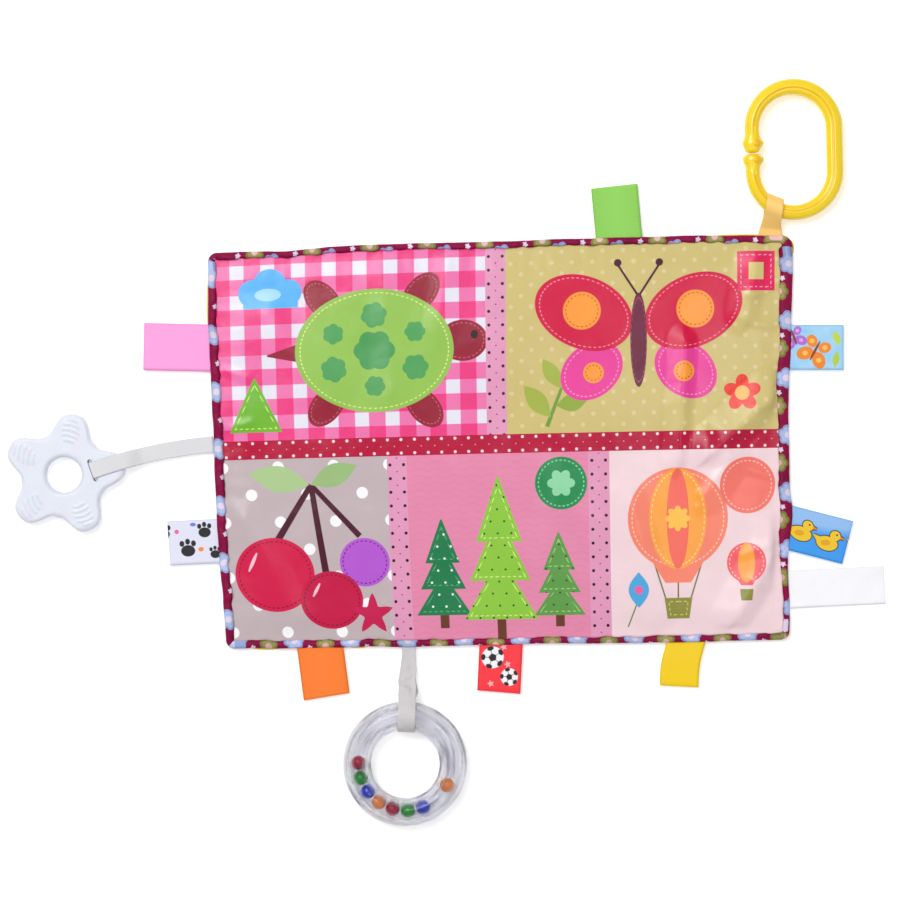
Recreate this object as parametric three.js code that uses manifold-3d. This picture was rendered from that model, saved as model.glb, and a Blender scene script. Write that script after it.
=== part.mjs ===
// A baby's crinkle comfort blanket, laid flat as it lies on a table: a thin padded sheet with a
// taped edge, ribbon loops, a care label, a link to hang it by, a star teether and a rattle ring.
// Millimetres. X runs along the blanket, Y up it, Z off the table. The origin is the middle of
// the underside.
import * as THREE from "three";
import { mergeVertices } from "three/addons/utils/BufferGeometryUtils.js";
import Module from "manifold-3d";

const wasm = await Module();
wasm.setup();

// Blanket sheets
const blanketWidth = 308;
const blanketHeight = 214;
const panelThickness = 0.5;
const filmThickness = 0.2;
const filmRipple = 0.3;
const filmRippleLength = 46;
const battingThickness = 1.4;
const battingRimThickness = 0.6;
const crownHeight = 2;
const layerGap = 0.3;
const rimSlope = 12;

// How far each corner lies off the cut rectangle, and how far each edge bows out, as laid down.
const cornerShift = {
  topLeft: [-5.3, -4.4],
  topRight: [1, 5.3],
  bottomRight: [-0.6, 2.2],
  bottomLeft: [5, -2.6],
};
const edgeBow = { top: 1.7, right: 0, bottom: 0.6, left: 2.2 };

// Folds that stand up in the laid front: two ends, height and half width
const frontFolds = [
  { from: [146, 74], to: [116, 10], height: 1.5, reach: 9 },
  { from: [101, 92], to: [96, 22], height: 1, reach: 10 },
  { from: [143, -18], to: [104, -84], height: 1.3, reach: 11 },
  { from: [66, -26], to: [84, -90], height: 0.8, reach: 11 },
  { from: [-128, 70], to: [-96, 26], height: 0.7, reach: 13 },
];

// Binding tape
const tapeThickness = 0.6;
const bindingDepth = 5.2;
const bindingSideRound = 1.4;
const bindingCornerRadius = 3.5;
const bindingInnerCorner = 0.5;
const panelInset = 2.4;

// Ribbons
const ribbonThickness = 0.6;
const labelThickness = 0.3;
const stitchedGap = 0.2;
const stitchedRun = 3;
const seamClearance = 0.3;
const floorClearance = 0.3;

// Ribbon loops: the edge each is sewn to and its place along it, how it leans off square,
// the loop's length and width, how its fold is skewed, and half its height at the fold
const tags = [
  { name: "pink_tag", edge: "left", place: 0.761, lean: -2.8, length: 35, width: 25.4,
    skew: 0, half: 1.5, colour: 0xfba9e0 },
  { name: "white_print_tag", edge: "left", place: 0.271, lean: -1, length: 26.5, width: 24,
    skew: 1, half: 1.3, colour: 0xdcdcf0 },
  { name: "green_tag", edge: "top", place: 0.704, lean: 4, length: 27.4, width: 25,
    skew: 1, half: 1.3, colour: 0x93cf62 },
  { name: "sky_print_tag", edge: "right", place: 0.277, lean: 0.4, length: 27.6, width: 24.3,
    skew: 0, half: 1.3, colour: 0x8cc4ef },
  { name: "blue_print_tag", edge: "right", place: 0.726, lean: -13.9, length: 31.5, width: 23.9,
    skew: 0, half: 1.4, colour: 0x5fa8ef },
  { name: "yellow_tag", edge: "bottom", place: 0.183, lean: -10.2, length: 24, width: 20.6,
    skew: 6, half: 1.4, colour: 0xf5cf1e },
  { name: "red_print_tag", edge: "bottom", place: 0.513, lean: -3.6, length: 25, width: 23.3,
    skew: -2, half: 1.3, colour: 0xfb4048 },
  { name: "orange_tag", edge: "bottom", place: 0.835, lean: 6.8, length: 26.4, width: 24.9,
    skew: 2, half: 1.3, colour: 0xfd8838 },
];
const careLabel = { length: 51, width: 20.5, lean: 3.2, half: 0.6, sideGap: 3.3 };

// Link and the loop that holds it
const linkBendRadius = 22.1;
const linkStraight = 23.4;
const linkRodRadius = 4.2;
const linkKnobRadius = 5.7;
const linkKnobLength = 8.2;
const linkMouth = 1;
const linkTilt = 1.3;
const linkLoopPlace = 0.963;
const linkLoopWidth = 11.4;
const linkLoopReach = 13.8;
const linkLoopLean = -10.4;
const linkLoopSlack = 2;
const linkWrapAngle = 242;

// Rattle ring
const ringOuterRadius = 33.3;
const ringHoleRadius = 18.4;
const ringFlange = 1;
const ringFlangeHalf = 0.6;
const ringWall = 1.2;
const rattleStrapPlace = 0.677;
const rattleStrapWidth = 9.6;
const rattleStrapReach = 36.2;
const rattleStrapLean = -2.5;
const rattleStrapPinch = 17;
const rattleLoopSlack = 0.9;

// Beads: how much less their radius is than the channel's, the shares of their play that they
// lie towards the hole and down, the angle of the train's first, counted anticlockwise from X,
// and how far past the train's last the lone one lies
const beadClearance = 1.35;
const beadSideGap = 0.45;
const beadFloorGap = 0.35;
const beadTowardsHole = 0.65;
const beadSunk = 0.75;
const trainStartAngle = 179;
const loneBeadBeyond = 40.6;
const trainColours = [0xb01030, 0x1f9a3c, 0x2a4fd0, 0xf58a3c, 0xb01030, 0x1f9a3c, 0x2a4fd0];
const loneBeadColour = 0xf58a3c;

// Teether and its strap
const starTipRadius = 33;
const starNotchRadius = 23;
const starArms = 5;
const starThickness = 8.5;
const starEdgeRound = 1.9;
const starHoleRadius = 9.4;
const starArmAngle = 8.4;
const slotCentreRadius = 15.9;
const slotLength = 12.4;
const slotWidth = 3.2;
const teetherStrapPlace = 0.516;
const teetherStrapWidth = 8.8;
const teetherStrapReach = 64.1;
const teetherStrapDrop = 10.9;
const teetherStrapKnee = [32, 1.2];
const teetherStrapGap = 0.3;
const teetherStrapCorner = 0.4;
const pivotBeyondTip = 1.5;
const pinchBeyondPivot = 10;

// Facets
const frontCells = [28, 20];
const lowerCells = [14, 10];
const bindingSteps = { top: 12, right: 8, bottom: 12, left: 8 };
const cornerSteps = 3;
const wrapSteps = 14;
const rodSides = 12;
const rodSteps = 32;
const ringSides = 40;
const beadSides = [10, 8];
const starSides = 60;
const roundSides = 12;

const degrees = THREE.MathUtils.degToRad;
const turn = (vector, angle) => vector.clone().rotateAround(new THREE.Vector2(), degrees(angle));
const fromAngle = (angle) => turn(new THREE.Vector2(1, 0), angle);

// Meshes from rings of points: bands join rings, and caps close them.
class Skin {
  points = [];
  faces = [];

  ring(points) {
    const first = this.points.length;
    this.points.push(...points);
    return points.map((_, i) => first + i);
  }

  band(a, b) {
    a.forEach((_, i) => {
      const j = (i + 1) % a.length;
      this.faces.push(a[i], a[j], b[j], a[i], b[j], b[i]);
    });
  }

  cap(ring) {
    for (let i = 1; i < ring.length - 1; i++) this.faces.push(ring[0], ring[i], ring[i + 1]);
  }

  geometry() {
    const skin = new THREE.BufferGeometry().setFromPoints(this.points);
    skin.setIndex(this.faces);
    if (volumeOf(skin) < 0) skin.setIndex(this.faces.toReversed());
    skin.computeVertexNormals();
    return skin;
  }
}

function volumeOf(geometry) {
  const at = geometry.getAttribute("position");
  const corner = (i) => new THREE.Vector3().fromBufferAttribute(at, geometry.index.getX(i));
  let volume = 0;
  for (let i = 0; i < geometry.index.count; i += 3)
    volume += corner(i).dot(corner(i + 1).cross(corner(i + 2))) / 6;
  return volume;
}

// Booleans
function solidOf(geometry) {
  const bare = geometry.clone();
  bare.deleteAttribute("normal");
  bare.deleteAttribute("uv");
  const merged = mergeVertices(bare, 1e-4);
  return new wasm.Manifold(
    new wasm.Mesh({
      numProp: 3,
      vertProperties: merged.attributes.position.array,
      triVerts: new Uint32Array(merged.index.array),
    }),
  );
}

function cutFrom(geometry, ...tools) {
  let solid = solidOf(geometry);
  for (const tool of tools) solid = solid.subtract(solidOf(tool));
  const mesh = solid.getMesh();
  const cut = new THREE.BufferGeometry();
  cut.setAttribute("position", new THREE.BufferAttribute(mesh.vertProperties, 3));
  cut.setIndex(new THREE.BufferAttribute(mesh.triVerts, 1));
  cut.computeVertexNormals();
  return cut;
}

// Scene
const blanket = new THREE.Group();

function add(name, geometry, look, parent = blanket) {
  const mesh = new THREE.Mesh(geometry, new THREE.MeshStandardMaterial(look));
  mesh.name = name;
  parent.add(mesh);
  return mesh;
}

const satin = (color) => ({ color, roughness: 0.45, metalness: 0 });
const plastic = (color) => ({ color, roughness: 0.25, metalness: 0 });

// The line a piece turns about, kept with its mesh for whoever rigs it.
function hingeOn(mesh, point, height, axis) {
  mesh.userData.hinge = { point: [point.x, point.y, height], axis: [axis.x, axis.y, 0] };
}

// Blanket outline, clockwise seen from above
const corner = (name, x, y) =>
  new THREE.Vector2(
    (x * blanketWidth) / 2 + cornerShift[name][0],
    (y * blanketHeight) / 2 + cornerShift[name][1],
  );
const topLeft = corner("topLeft", -1, 1);
const topRight = corner("topRight", 1, 1);
const bottomRight = corner("bottomRight", 1, -1);
const bottomLeft = corner("bottomLeft", -1, -1);
const edges = {
  top: { from: topLeft, to: topRight, bow: edgeBow.top },
  right: { from: topRight, to: bottomRight, bow: edgeBow.right },
  bottom: { from: bottomRight, to: bottomLeft, bow: edgeBow.bottom },
  left: { from: bottomLeft, to: topLeft, bow: edgeBow.left },
};
const bowAt = (share) => 4 * share * (1 - share);

// The point at a share of an edge, with the unit vectors along it and out of it
function seatOn(edge, share) {
  const { from, to, bow } = edges[edge];
  const chord = to.clone().sub(from);
  const side = turn(chord, 90).normalize();
  const point = from.clone().lerp(to, share).addScaledVector(side, bow * bowAt(share));
  const along = chord.clone().addScaledVector(side, 4 * bow * (1 - 2 * share)).normalize();
  return { point, along, out: turn(along, 90), length: chord.length() };
}

// A point of the sheet, u from left to right and v from bottom to top
function sheetPoint(u, v) {
  const low = bottomLeft.clone().lerp(bottomRight, u);
  const high = topLeft.clone().lerp(topRight, u);
  const bowX = bowAt(v) * (edgeBow.right * u - edgeBow.left * (1 - u));
  const bowY = bowAt(u) * (edgeBow.top * v - edgeBow.bottom * (1 - v));
  return low.lerp(high, v).add(new THREE.Vector2(bowX, bowY));
}

// Heights of the stack, at the sewn rim and inside it
const backRim = tapeThickness + layerGap;
const filmRim = backRim + panelThickness + layerGap;
const battingRim = filmRim + filmThickness + layerGap;
const frontRim = battingRim + battingRimThickness + layerGap;
const bindingHeight = frontRim + panelThickness + layerGap + tapeThickness;
const seamHeight = bindingHeight / 2;
const filmInside = panelThickness + layerGap + filmRipple;
const battingInside = filmInside + filmRipple + filmThickness + layerGap;
const frontInside = battingInside + battingThickness + layerGap;

const crownAt = (u, v) => crownHeight * Math.sin(Math.PI * u) * Math.sin(Math.PI * v);

// Lines of a grid: the rim, the end of the flat hem under the tape, the foot of the slope up from
// it, and even steps between the slopes
function gridLines(span, cells) {
  const rim = panelInset / span;
  const hem = (bindingDepth + layerGap) / span;
  const foot = hem + rimSlope / span;
  const inner = cells - 4;
  const steps = Array.from({ length: inner + 1 }, (_, i) => foot + ((1 - 2 * foot) * i) / inner);
  return [rim, hem, ...steps, 1 - hem, 1 - rim];
}

// A closed sheet between two heights, each given at a point and whether it is inside the hem
function sheetSolid([across, up], underside, topside) {
  const us = gridLines(blanketWidth, across);
  const vs = gridLines(blanketHeight, up);
  const skin = new Skin();
  const layer = (height) =>
    vs.map((v, j) =>
      skin.ring(
        us.map((u, i) => {
          const inside = i > 1 && i < us.length - 2 && j > 1 && j < vs.length - 2;
          const { x, y } = sheetPoint(u, v);
          return new THREE.Vector3(x, y, height({ u, v, x, y, inside }));
        }),
      ),
    );
  const low = layer(underside);
  const high = layer(topside);
  for (let j = 0; j + 1 < vs.length; j++)
    for (let i = 0; i + 1 < us.length; i++) {
      skin.faces.push(high[j][i], high[j][i + 1], high[j + 1][i + 1]);
      skin.faces.push(high[j][i], high[j + 1][i + 1], high[j + 1][i]);
      skin.faces.push(low[j][i], low[j + 1][i + 1], low[j][i + 1]);
      skin.faces.push(low[j][i], low[j + 1][i], low[j + 1][i + 1]);
    }
  const rimOf = (rows) => [
    ...rows[0],
    ...rows.slice(1, -1).map((row) => row.at(-1)),
    ...rows.at(-1).toReversed(),
    ...rows.slice(1, -1).map((row) => row[0]).toReversed(),
  ];
  skin.band(rimOf(low), rimOf(high));
  return skin.geometry();
}

// Sheets
function foldHeight(x, y) {
  const point = new THREE.Vector3(x, y, 0);
  return frontFolds.reduce((height, fold) => {
    const ridge = new THREE.Line3(
      new THREE.Vector3(...fold.from, 0),
      new THREE.Vector3(...fold.to, 0),
    );
    const nearest = ridge.closestPointToPoint(point, true, new THREE.Vector3());
    return height + fold.height * Math.exp(-((nearest.distanceTo(point) / fold.reach) ** 2));
  }, 0);
}

const backUnderside = ({ inside }) => (inside ? 0 : backRim);
const filmUnderside = ({ x, y, inside }) =>
  inside
    ? filmInside +
      filmRipple *
        Math.sin((2 * Math.PI * (x + y / 3)) / filmRippleLength) *
        Math.cos((2 * Math.PI * (y - x / 4)) / filmRippleLength)
    : filmRim;
const battingUnderside = ({ inside }) => (inside ? battingInside : battingRim);
const battingTopside = ({ u, v, inside }) =>
  inside ? battingInside + battingThickness + crownAt(u, v) : battingRim + battingRimThickness;
const frontUnderside = ({ u, v, x, y, inside }) =>
  inside ? frontInside + crownAt(u, v) + foldHeight(x, y) : frontRim;
const raised = (height, by) => (place) => height(place) + by;

add(
  "back_panel",
  sheetSolid(lowerCells, backUnderside, raised(backUnderside, panelThickness)),
  satin(0xffe35a),
);
add(
  "crinkle_film",
  sheetSolid(lowerCells, filmUnderside, raised(filmUnderside, filmThickness)),
  plastic(0xdfe6ea),
);
add("batting", sheetSolid(lowerCells, battingUnderside, battingTopside), {
  color: 0xf6f6f2,
  roughness: 0.95,
});
add(
  "front_panel",
  sheetSolid(frontCells, frontUnderside, raised(frontUnderside, panelThickness)),
  satin(0xe8a9c4),
);

// Binding: a U of tape swept round the outline. Its profile holds depth in from the edge and
// height; each corner is an arc outside and a mitre inside.
function bindingSolid() {
  const round = bindingSideRound;
  const wall = tapeThickness;
  const top = bindingHeight;
  const half = [
    [bindingDepth, 0],
    [round, 0],
    [round * 0.3, round * 0.3],
    [0, round],
  ];
  const inner = [
    [wall, round],
    [wall + round * 0.3, wall + round * 0.3],
    [wall + round, wall],
    [bindingDepth, wall],
  ];
  const above = (points) => points.map(([depth, height]) => [depth, top - height]).toReversed();
  const profile = [...half, ...above(half), ...above(inner), ...inner];
  const names = Object.keys(edges);
  const skin = new Skin();
  const stations = [];
  names.forEach((name, k) => {
    const next = names[(k + 1) % names.length];
    const steps = bindingSteps[name];
    const margin = (bindingDepth + bindingCornerRadius) / seatOn(name, 0).length;
    for (let i = 0; i <= steps; i++) {
      const seat = seatOn(name, margin + ((1 - 2 * margin) * i) / steps);
      stations.push((depth) => seat.point.clone().addScaledVector(seat.out, -depth));
    }
    const end = seatOn(name, 1);
    const start = seatOn(next, 0);
    const square = 1 + end.out.dot(start.out);
    const mitre = end.out.clone().add(start.out).divideScalar(square);
    for (let i = 0; i <= cornerSteps; i++) {
      const out = end.out.clone().lerp(start.out, i / cornerSteps).normalize();
      stations.push((depth) => {
        const radius = Math.max(bindingCornerRadius - depth, bindingInnerCorner);
        return end.point.clone().addScaledVector(mitre, -depth - radius).addScaledVector(out, radius);
      });
    }
  });
  const rings = stations.map((station) =>
    skin.ring(
      profile.map(([depth, height]) => {
        const { x, y } = station(depth);
        return new THREE.Vector3(x, y, height);
      }),
    ),
  );
  rings.forEach((ring, i) => skin.band(ring, rings[(i + 1) % rings.length]));
  return skin.geometry();
}
add("binding", bindingSolid(), { color: 0x96123f, roughness: 0.7 });

// Ribbon loops. A profile is two closed lines of as many points, the ribbon's outside and
// inside, each point a run out from the hinge line and a height.
const arc = (x, z, radius, from, to, steps) =>
  Array.from({ length: steps + 1 }, (_, i) => {
    const angle = degrees(from + ((to - from) * i) / steps);
    return [x + radius * Math.cos(angle), z + radius * Math.sin(angle)];
  });

const rootHalf = (ply) => ply + stitchedGap / 2;
const noseOf = (run, z, radius) => arc(run, z, radius, 270, 90, 4).slice(1, -1);

// A pressed loop that lies down from the seam to the table
function flatLoopProfile(length, half, ply) {
  const centre = (run) => THREE.MathUtils.lerp(seamHeight, half + floorClearance, run / length);
  const swell = (run) => rootHalf(ply) + (half - rootHalf(ply)) * Math.sin((Math.PI * run) / length / 2);
  const bend = length - half;
  const side = (first, sign, inset) =>
    [0, 0.25, 0.5, 0.75, 1].map((share) => {
      const run = THREE.MathUtils.lerp(first, bend, share);
      return [run, centre(run) + sign * (swell(run) - inset)];
    });
  const line = (first, nose, inset) => [
    ...noseOf(first, centre(first), nose),
    ...side(first, 1, inset),
    ...arc(bend, centre(bend), half - inset, 90, -90, 5).slice(1, -1),
    ...side(first, -1, inset).toReversed(),
  ];
  return [line(0, rootHalf(ply), 0), line(stitchedRun, stitchedGap / 2, ply)];
}

// A loop drawn round a rod: flat from the seam to the pinch, then straight to the rod's wrap
function wrapProfile({ reach, height, radius, ply, pinch, stretch = 1 }) {
  const centre = (run) => THREE.MathUtils.lerp(seamHeight, height, run / reach);
  const tangent = (run, z, size, sign) => {
    const away = new THREE.Vector2(run - reach, z - height);
    return THREE.MathUtils.radToDeg(away.angle() - sign * Math.acos(size / away.length()));
  };
  const line = (first, nose, size) => {
    const top = tangent(pinch, centre(pinch) + nose, size, 1);
    const bottom = tangent(pinch, centre(pinch) - nose, size, -1);
    const wrapped = arc(0, 0, size, top, bottom - 360, wrapSteps);
    return [
      ...noseOf(first, centre(first), nose),
      [first, centre(first) + nose],
      [pinch, centre(pinch) + nose],
      ...wrapped.map(([run, z]) => [reach + run * stretch, height + z]),
      [pinch, centre(pinch) - nose],
      [first, centre(first) - nose],
    ];
  };
  const stitch = Math.min(stitchedRun, pinch / 2);
  return [line(0, rootHalf(ply), radius + ply), line(stitch, stitchedGap / 2, radius)];
}

// A ribbon of such a profile: place gives the plan point at a run and a share of the width.
function ribbonSolid([outside, inside], place, widthSteps = 1) {
  const skin = new Skin();
  const rings = Array.from({ length: widthSteps + 1 }, (_, k) => {
    const side = k / widthSteps - 0.5;
    const ringOf = (line) =>
      skin.ring(
        line.map(([run, z]) => {
          const { x, y } = place(run, side);
          return new THREE.Vector3(x, y, z);
        }),
      );
    return { outer: ringOf(outside), inner: ringOf(inside) };
  });
  for (let k = 0; k < widthSteps; k++) {
    skin.band(rings[k].outer, rings[k + 1].outer);
    skin.band(rings[k + 1].inner, rings[k].inner);
  }
  skin.band(rings[0].inner, rings[0].outer);
  skin.band(rings.at(-1).outer, rings.at(-1).inner);
  return skin.geometry();
}

// Where a ribbon starts: the hinge line just outside the binding
function rootOf(edge, share, ply) {
  const seat = seatOn(edge, share);
  seat.root = seat.point.clone().addScaledVector(seat.out, seamClearance + rootHalf(ply));
  return seat;
}

// Plan of a straight ribbon: its root follows the seam, and its far end is skewed from the run
// where the slant has settled.
function straightPlan({ seat, lean, width, skew, settled }) {
  const ahead = turn(seat.out, lean);
  const across = turn(ahead, -90);
  return (run, side) => {
    const share = THREE.MathUtils.clamp(run / settled, 0, 1);
    const slant = THREE.MathUtils.lerp(Math.tan(degrees(-lean)), Math.tan(degrees(skew)), share);
    return seat.root
      .clone()
      .addScaledVector(ahead, run + side * width * slant)
      .addScaledVector(across, side * width);
  };
}

function addLoopTag({ name, edge, place, lean, length, width, skew, half, colour }, ply) {
  const seat = rootOf(edge, place, ply);
  const plan = straightPlan({ seat, lean, width, skew, settled: length - half });
  const mesh = add(name, ribbonSolid(flatLoopProfile(length, half, ply), plan), satin(colour));
  hingeOn(mesh, seat.root, seamHeight, seat.along);
}
for (const tag of tags) addLoopTag(tag, ribbonThickness);

// The care label sits beside the blue tag, clear of its side all the way out.
const blueTag = tags.find((tag) => tag.name === "blue_print_tag");
const rightLength = seatOn("right", 0).length;
const blueSwing = blueTag.length * Math.sin(degrees(-blueTag.lean));
const labelOffset = (blueTag.width + careLabel.width) / 2 + careLabel.sideGap + blueSwing;
addLoopTag(
  {
    ...careLabel,
    name: "care_label",
    edge: "right",
    place: blueTag.place + labelOffset / rightLength,
    skew: 0,
    colour: 0xf4f4fa,
  },
  labelThickness,
);

// Link loop and link. The loop's fold follows the rod where it wraps it.
const linkSeat = rootOf("top", linkLoopPlace, ribbonThickness);
const linkAhead = turn(linkSeat.out, linkLoopLean);
const linkWrapPoint = linkSeat.root.clone().addScaledVector(linkAhead, linkLoopReach);
const linkRodAlong = fromAngle(linkWrapAngle + 90 + linkTilt);
const linkSkew = THREE.MathUtils.radToDeg(Math.asin(turn(linkAhead, -90).cross(linkRodAlong)));
const linkLoopRadius = linkRodRadius + linkLoopSlack;
const linkHeight = linkLoopRadius + ribbonThickness + floorClearance;
const linkLoop = add(
  "link_loop",
  ribbonSolid(
    wrapProfile({
      reach: linkLoopReach,
      height: linkHeight,
      radius: linkLoopRadius,
      ply: ribbonThickness,
      pinch: 3,
      stretch: 1 / Math.cos(degrees(linkSkew)),
    }),
    straightPlan({
      seat: linkSeat,
      lean: linkLoopLean,
      width: linkLoopWidth,
      skew: linkSkew,
      settled: linkLoopReach - linkLoopRadius,
    }),
  ),
  satin(0xfbbd4b),
);
hingeOn(linkLoop, linkSeat.root, seamHeight, linkSeat.along);

// Centre line of the link at a distance from the middle of its mouth, clockwise
function linkCentreLine(distance) {
  const half = linkStraight / 2;
  const bend = Math.PI * linkBendRadius;
  const runs = [half, bend, linkStraight, bend, half];
  let left = distance;
  let run = 0;
  while (run < runs.length - 1 && left > runs[run]) left -= runs[run++];
  const swung = left / linkBendRadius;
  const onBend = (start, y) => {
    const out = new THREE.Vector2(Math.cos(start - swung), Math.sin(start - swung));
    return { point: out.clone().multiplyScalar(linkBendRadius).setY(out.y * linkBendRadius + y), out };
  };
  const onSide = (x, y) => ({
    point: new THREE.Vector2(x * linkBendRadius, y),
    out: new THREE.Vector2(x, 0),
  });
  if (run === 0) return onSide(-1, left);
  if (run === 1) return onBend(Math.PI, half);
  if (run === 2) return onSide(1, half - left);
  if (run === 3) return onBend(0, -half);
  return onSide(-1, left - half);
}

// Rod radius near an end, where it swells to a knob
function linkRadiusAt(fromEnd) {
  const share = fromEnd / linkKnobLength;
  if (share >= 1) return linkRodRadius;
  const knob = Math.sin(Math.PI * THREE.MathUtils.lerp(0.22, 1, share));
  return Math.max(linkRodRadius * share, linkKnobRadius * knob, linkRodRadius * 0.8);
}

function linkSolid() {
  const total = 2 * linkStraight + 2 * Math.PI * linkBendRadius;
  const first = linkMouth / 2;
  const last = total - linkMouth / 2;
  const knob = [0, 0.08, 0.2, 0.36, 0.55, 0.75, 1].map((share) => share * linkKnobLength);
  const middle = Array.from({ length: rodSteps + 1 }, (_, i) =>
    THREE.MathUtils.lerp(first + linkKnobLength, last - linkKnobLength, i / rodSteps),
  );
  const stops = [
    ...knob.map((run) => first + run),
    ...middle.slice(1, -1),
    ...knob.toReversed().map((run) => last - run),
  ];
  const skin = new Skin();
  const rings = stops.map((stop) => {
    const { point, out } = linkCentreLine(stop);
    const radius = linkRadiusAt(Math.min(stop - first, last - stop));
    return skin.ring(
      arc(0, 0, radius, 0, 360, rodSides)
        .slice(1)
        .map(([r, z]) => new THREE.Vector3(point.x + out.x * r, point.y + out.y * r, z)),
    );
  });
  rings.slice(1).forEach((ring, i) => skin.band(rings[i], ring));
  skin.cap(rings[0].toReversed());
  skin.cap(rings.at(-1));
  return skin.geometry();
}
const linkRing = add("link_ring", linkSolid(), plastic(0xfbd923));
const wrapOnLink = fromAngle(linkWrapAngle).multiplyScalar(linkBendRadius);
wrapOnLink.y -= linkStraight / 2;
const linkCentre = linkWrapPoint.clone().sub(turn(wrapOnLink, linkTilt));
linkRing.position.set(linkCentre.x, linkCentre.y, linkHeight);
linkRing.rotation.z = degrees(linkTilt);
hingeOn(linkRing, linkWrapPoint, linkHeight, linkRodAlong);

// Rattle strap and ring
const ringTubeCentre = (ringOuterRadius + ringHoleRadius) / 2;
const ringTubeHalf = (ringOuterRadius - ringHoleRadius) / 2;
const ringTubeRadius = ringTubeHalf - ringFlange;
const ringChannelRadius = ringTubeRadius - ringWall;
const rattleLoopRadius = ringTubeHalf + rattleLoopSlack;
const ringHeight = rattleLoopRadius + ribbonThickness + floorClearance;
const rattleSeat = rootOf("bottom", rattleStrapPlace, ribbonThickness);
const rattleAhead = turn(rattleSeat.out, rattleStrapLean);
const rattleStrap = add(
  "rattle_strap",
  ribbonSolid(
    wrapProfile({
      reach: rattleStrapReach,
      height: ringHeight,
      radius: rattleLoopRadius,
      ply: ribbonThickness,
      pinch: rattleStrapPinch,
    }),
    straightPlan({
      seat: rattleSeat,
      lean: rattleStrapLean,
      width: rattleStrapWidth,
      skew: 0,
      settled: rattleStrapPinch,
    }),
  ),
  satin(0xe9e6ea),
);
hingeOn(rattleStrap, rattleSeat.root, seamHeight, rattleSeat.along);

const tubeAtStrap = rattleSeat.root.clone().addScaledVector(rattleAhead, rattleStrapReach);
const ringCentre = tubeAtStrap.clone().addScaledVector(rattleAhead, ringTubeCentre);
const rattle = new THREE.Group();
rattle.position.set(ringCentre.x, ringCentre.y, ringHeight);
blanket.add(rattle);

// One half of the tube, above the weld, with the weld's flange on both rims
function ringShell() {
  const lip = Math.asin(ringFlangeHalf / ringTubeRadius);
  const from = THREE.MathUtils.radToDeg(lip);
  const outer = arc(ringTubeCentre, 0, ringTubeRadius, from, 180 - from, 9);
  const channel = arc(ringTubeCentre, 0, ringChannelRadius, 180, 0, 7);
  const profile = [
    [ringOuterRadius, 0],
    [ringOuterRadius, ringFlangeHalf],
    ...outer,
    [ringHoleRadius, ringFlangeHalf],
    [ringHoleRadius, 0],
    ...channel,
    [ringOuterRadius, 0],
  ];
  const points = profile.map(([r, z]) => new THREE.Vector2(r, z));
  return new THREE.LatheGeometry(points, ringSides).rotateX(Math.PI / 2);
}
const clear = { ...plastic(0xe6e8f4), transparent: true, opacity: 0.4 };
const frontShell = add("ring_front_shell", ringShell(), clear, rattle);
add("ring_back_shell", ringShell().rotateX(Math.PI), clear, rattle);
hingeOn(frontShell, tubeAtStrap, ringHeight, turn(rattleAhead, -90));

// Beads, lying on the floor of the channel and towards the hole
const beadRadius = ringChannelRadius - beadClearance;
const beadPlay = beadClearance - beadFloorGap;
const beadPath = ringTubeCentre - beadPlay * beadTowardsHole;
const beadHalfStep = Math.asin((beadRadius + beadSideGap / 2) / beadPath);
const beadStep = THREE.MathUtils.radToDeg(2 * beadHalfStep);
function addBead(number, angle, colour) {
  const bead = add(
    `bead_${number}`,
    new THREE.SphereGeometry(beadRadius, ...beadSides),
    { ...plastic(colour), transparent: true, opacity: 0.8 },
    rattle,
  );
  const { x, y } = fromAngle(angle).multiplyScalar(beadPath);
  bead.position.set(x, y, -beadPlay * beadSunk);
}
const trainAngles = trainColours.map((_, i) => trainStartAngle + i * beadStep);
trainColours.forEach((colour, i) => addBead(i + 1, trainAngles[i], colour));
addBead(trainColours.length + 1, trainAngles.at(-1) + loneBeadBeyond, loneBeadColour);

// Teether strap: two plies of a long loop that bends sideways on its way to the slot
const teetherSeat = rootOf("left", teetherStrapPlace, ribbonThickness);
const onTeetherPlan = (out, down) =>
  teetherSeat.root
    .clone()
    .addScaledVector(teetherSeat.out, out)
    .addScaledVector(teetherSeat.along, -down);
const teetherLine = new THREE.QuadraticBezierCurve(
  teetherSeat.root,
  onTeetherPlan(...teetherStrapKnee),
  onTeetherPlan(teetherStrapReach, teetherStrapDrop),
);
const teetherRun = teetherLine.getLength();
const strapEndAhead = teetherLine.getTangent(1);
const armAhead = fromAngle(starArmAngle);
const strapOffArm = -strapEndAhead.dot(armAhead);
const barLength = starTipRadius - slotCentreRadius * strapOffArm;
const starBottom = floorClearance;
const starTop = starBottom + starThickness;
const channelDepth = ribbonThickness + 2 * teetherStrapGap;
const overBar = starTop + teetherStrapGap;
const underBar = starBottom + channelDepth - teetherStrapGap;
const pivotRun = teetherRun - barLength - pivotBeyondTip;
const pivotHeight = (overBar + underBar) / 2;

function teetherStrapProfile() {
  const ply = ribbonThickness;
  const pinch = pivotRun - pinchBeyondPivot;
  const centre = (run) => THREE.MathUtils.lerp(seamHeight, pivotHeight, run / pivotRun);
  const crest = teetherRun - barLength;
  const line = (first, nose, grown, slotSide) => {
    const flat = [0.25, 0.5, 0.75].map((share) => share * pinch);
    const side = (sign, level) => [
      [first, centre(first) + sign * nose],
      ...flat.map((run) => [run, centre(run) + sign * nose]),
      [pinch, centre(pinch) + sign * nose],
      [crest, level],
      [(crest + teetherRun) / 2, level],
      [teetherRun + slotSide - teetherStrapCorner, level],
      [teetherRun + slotSide, level - sign * teetherStrapCorner],
    ];
    return [
      ...noseOf(first, centre(first), nose),
      ...side(1, overBar + grown),
      ...side(-1, underBar - grown).toReversed(),
    ];
  };
  return [
    line(0, rootHalf(ply), ply, ply / 2),
    line(stitchedRun, stitchedGap / 2, 0, -ply / 2),
  ];
}

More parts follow.
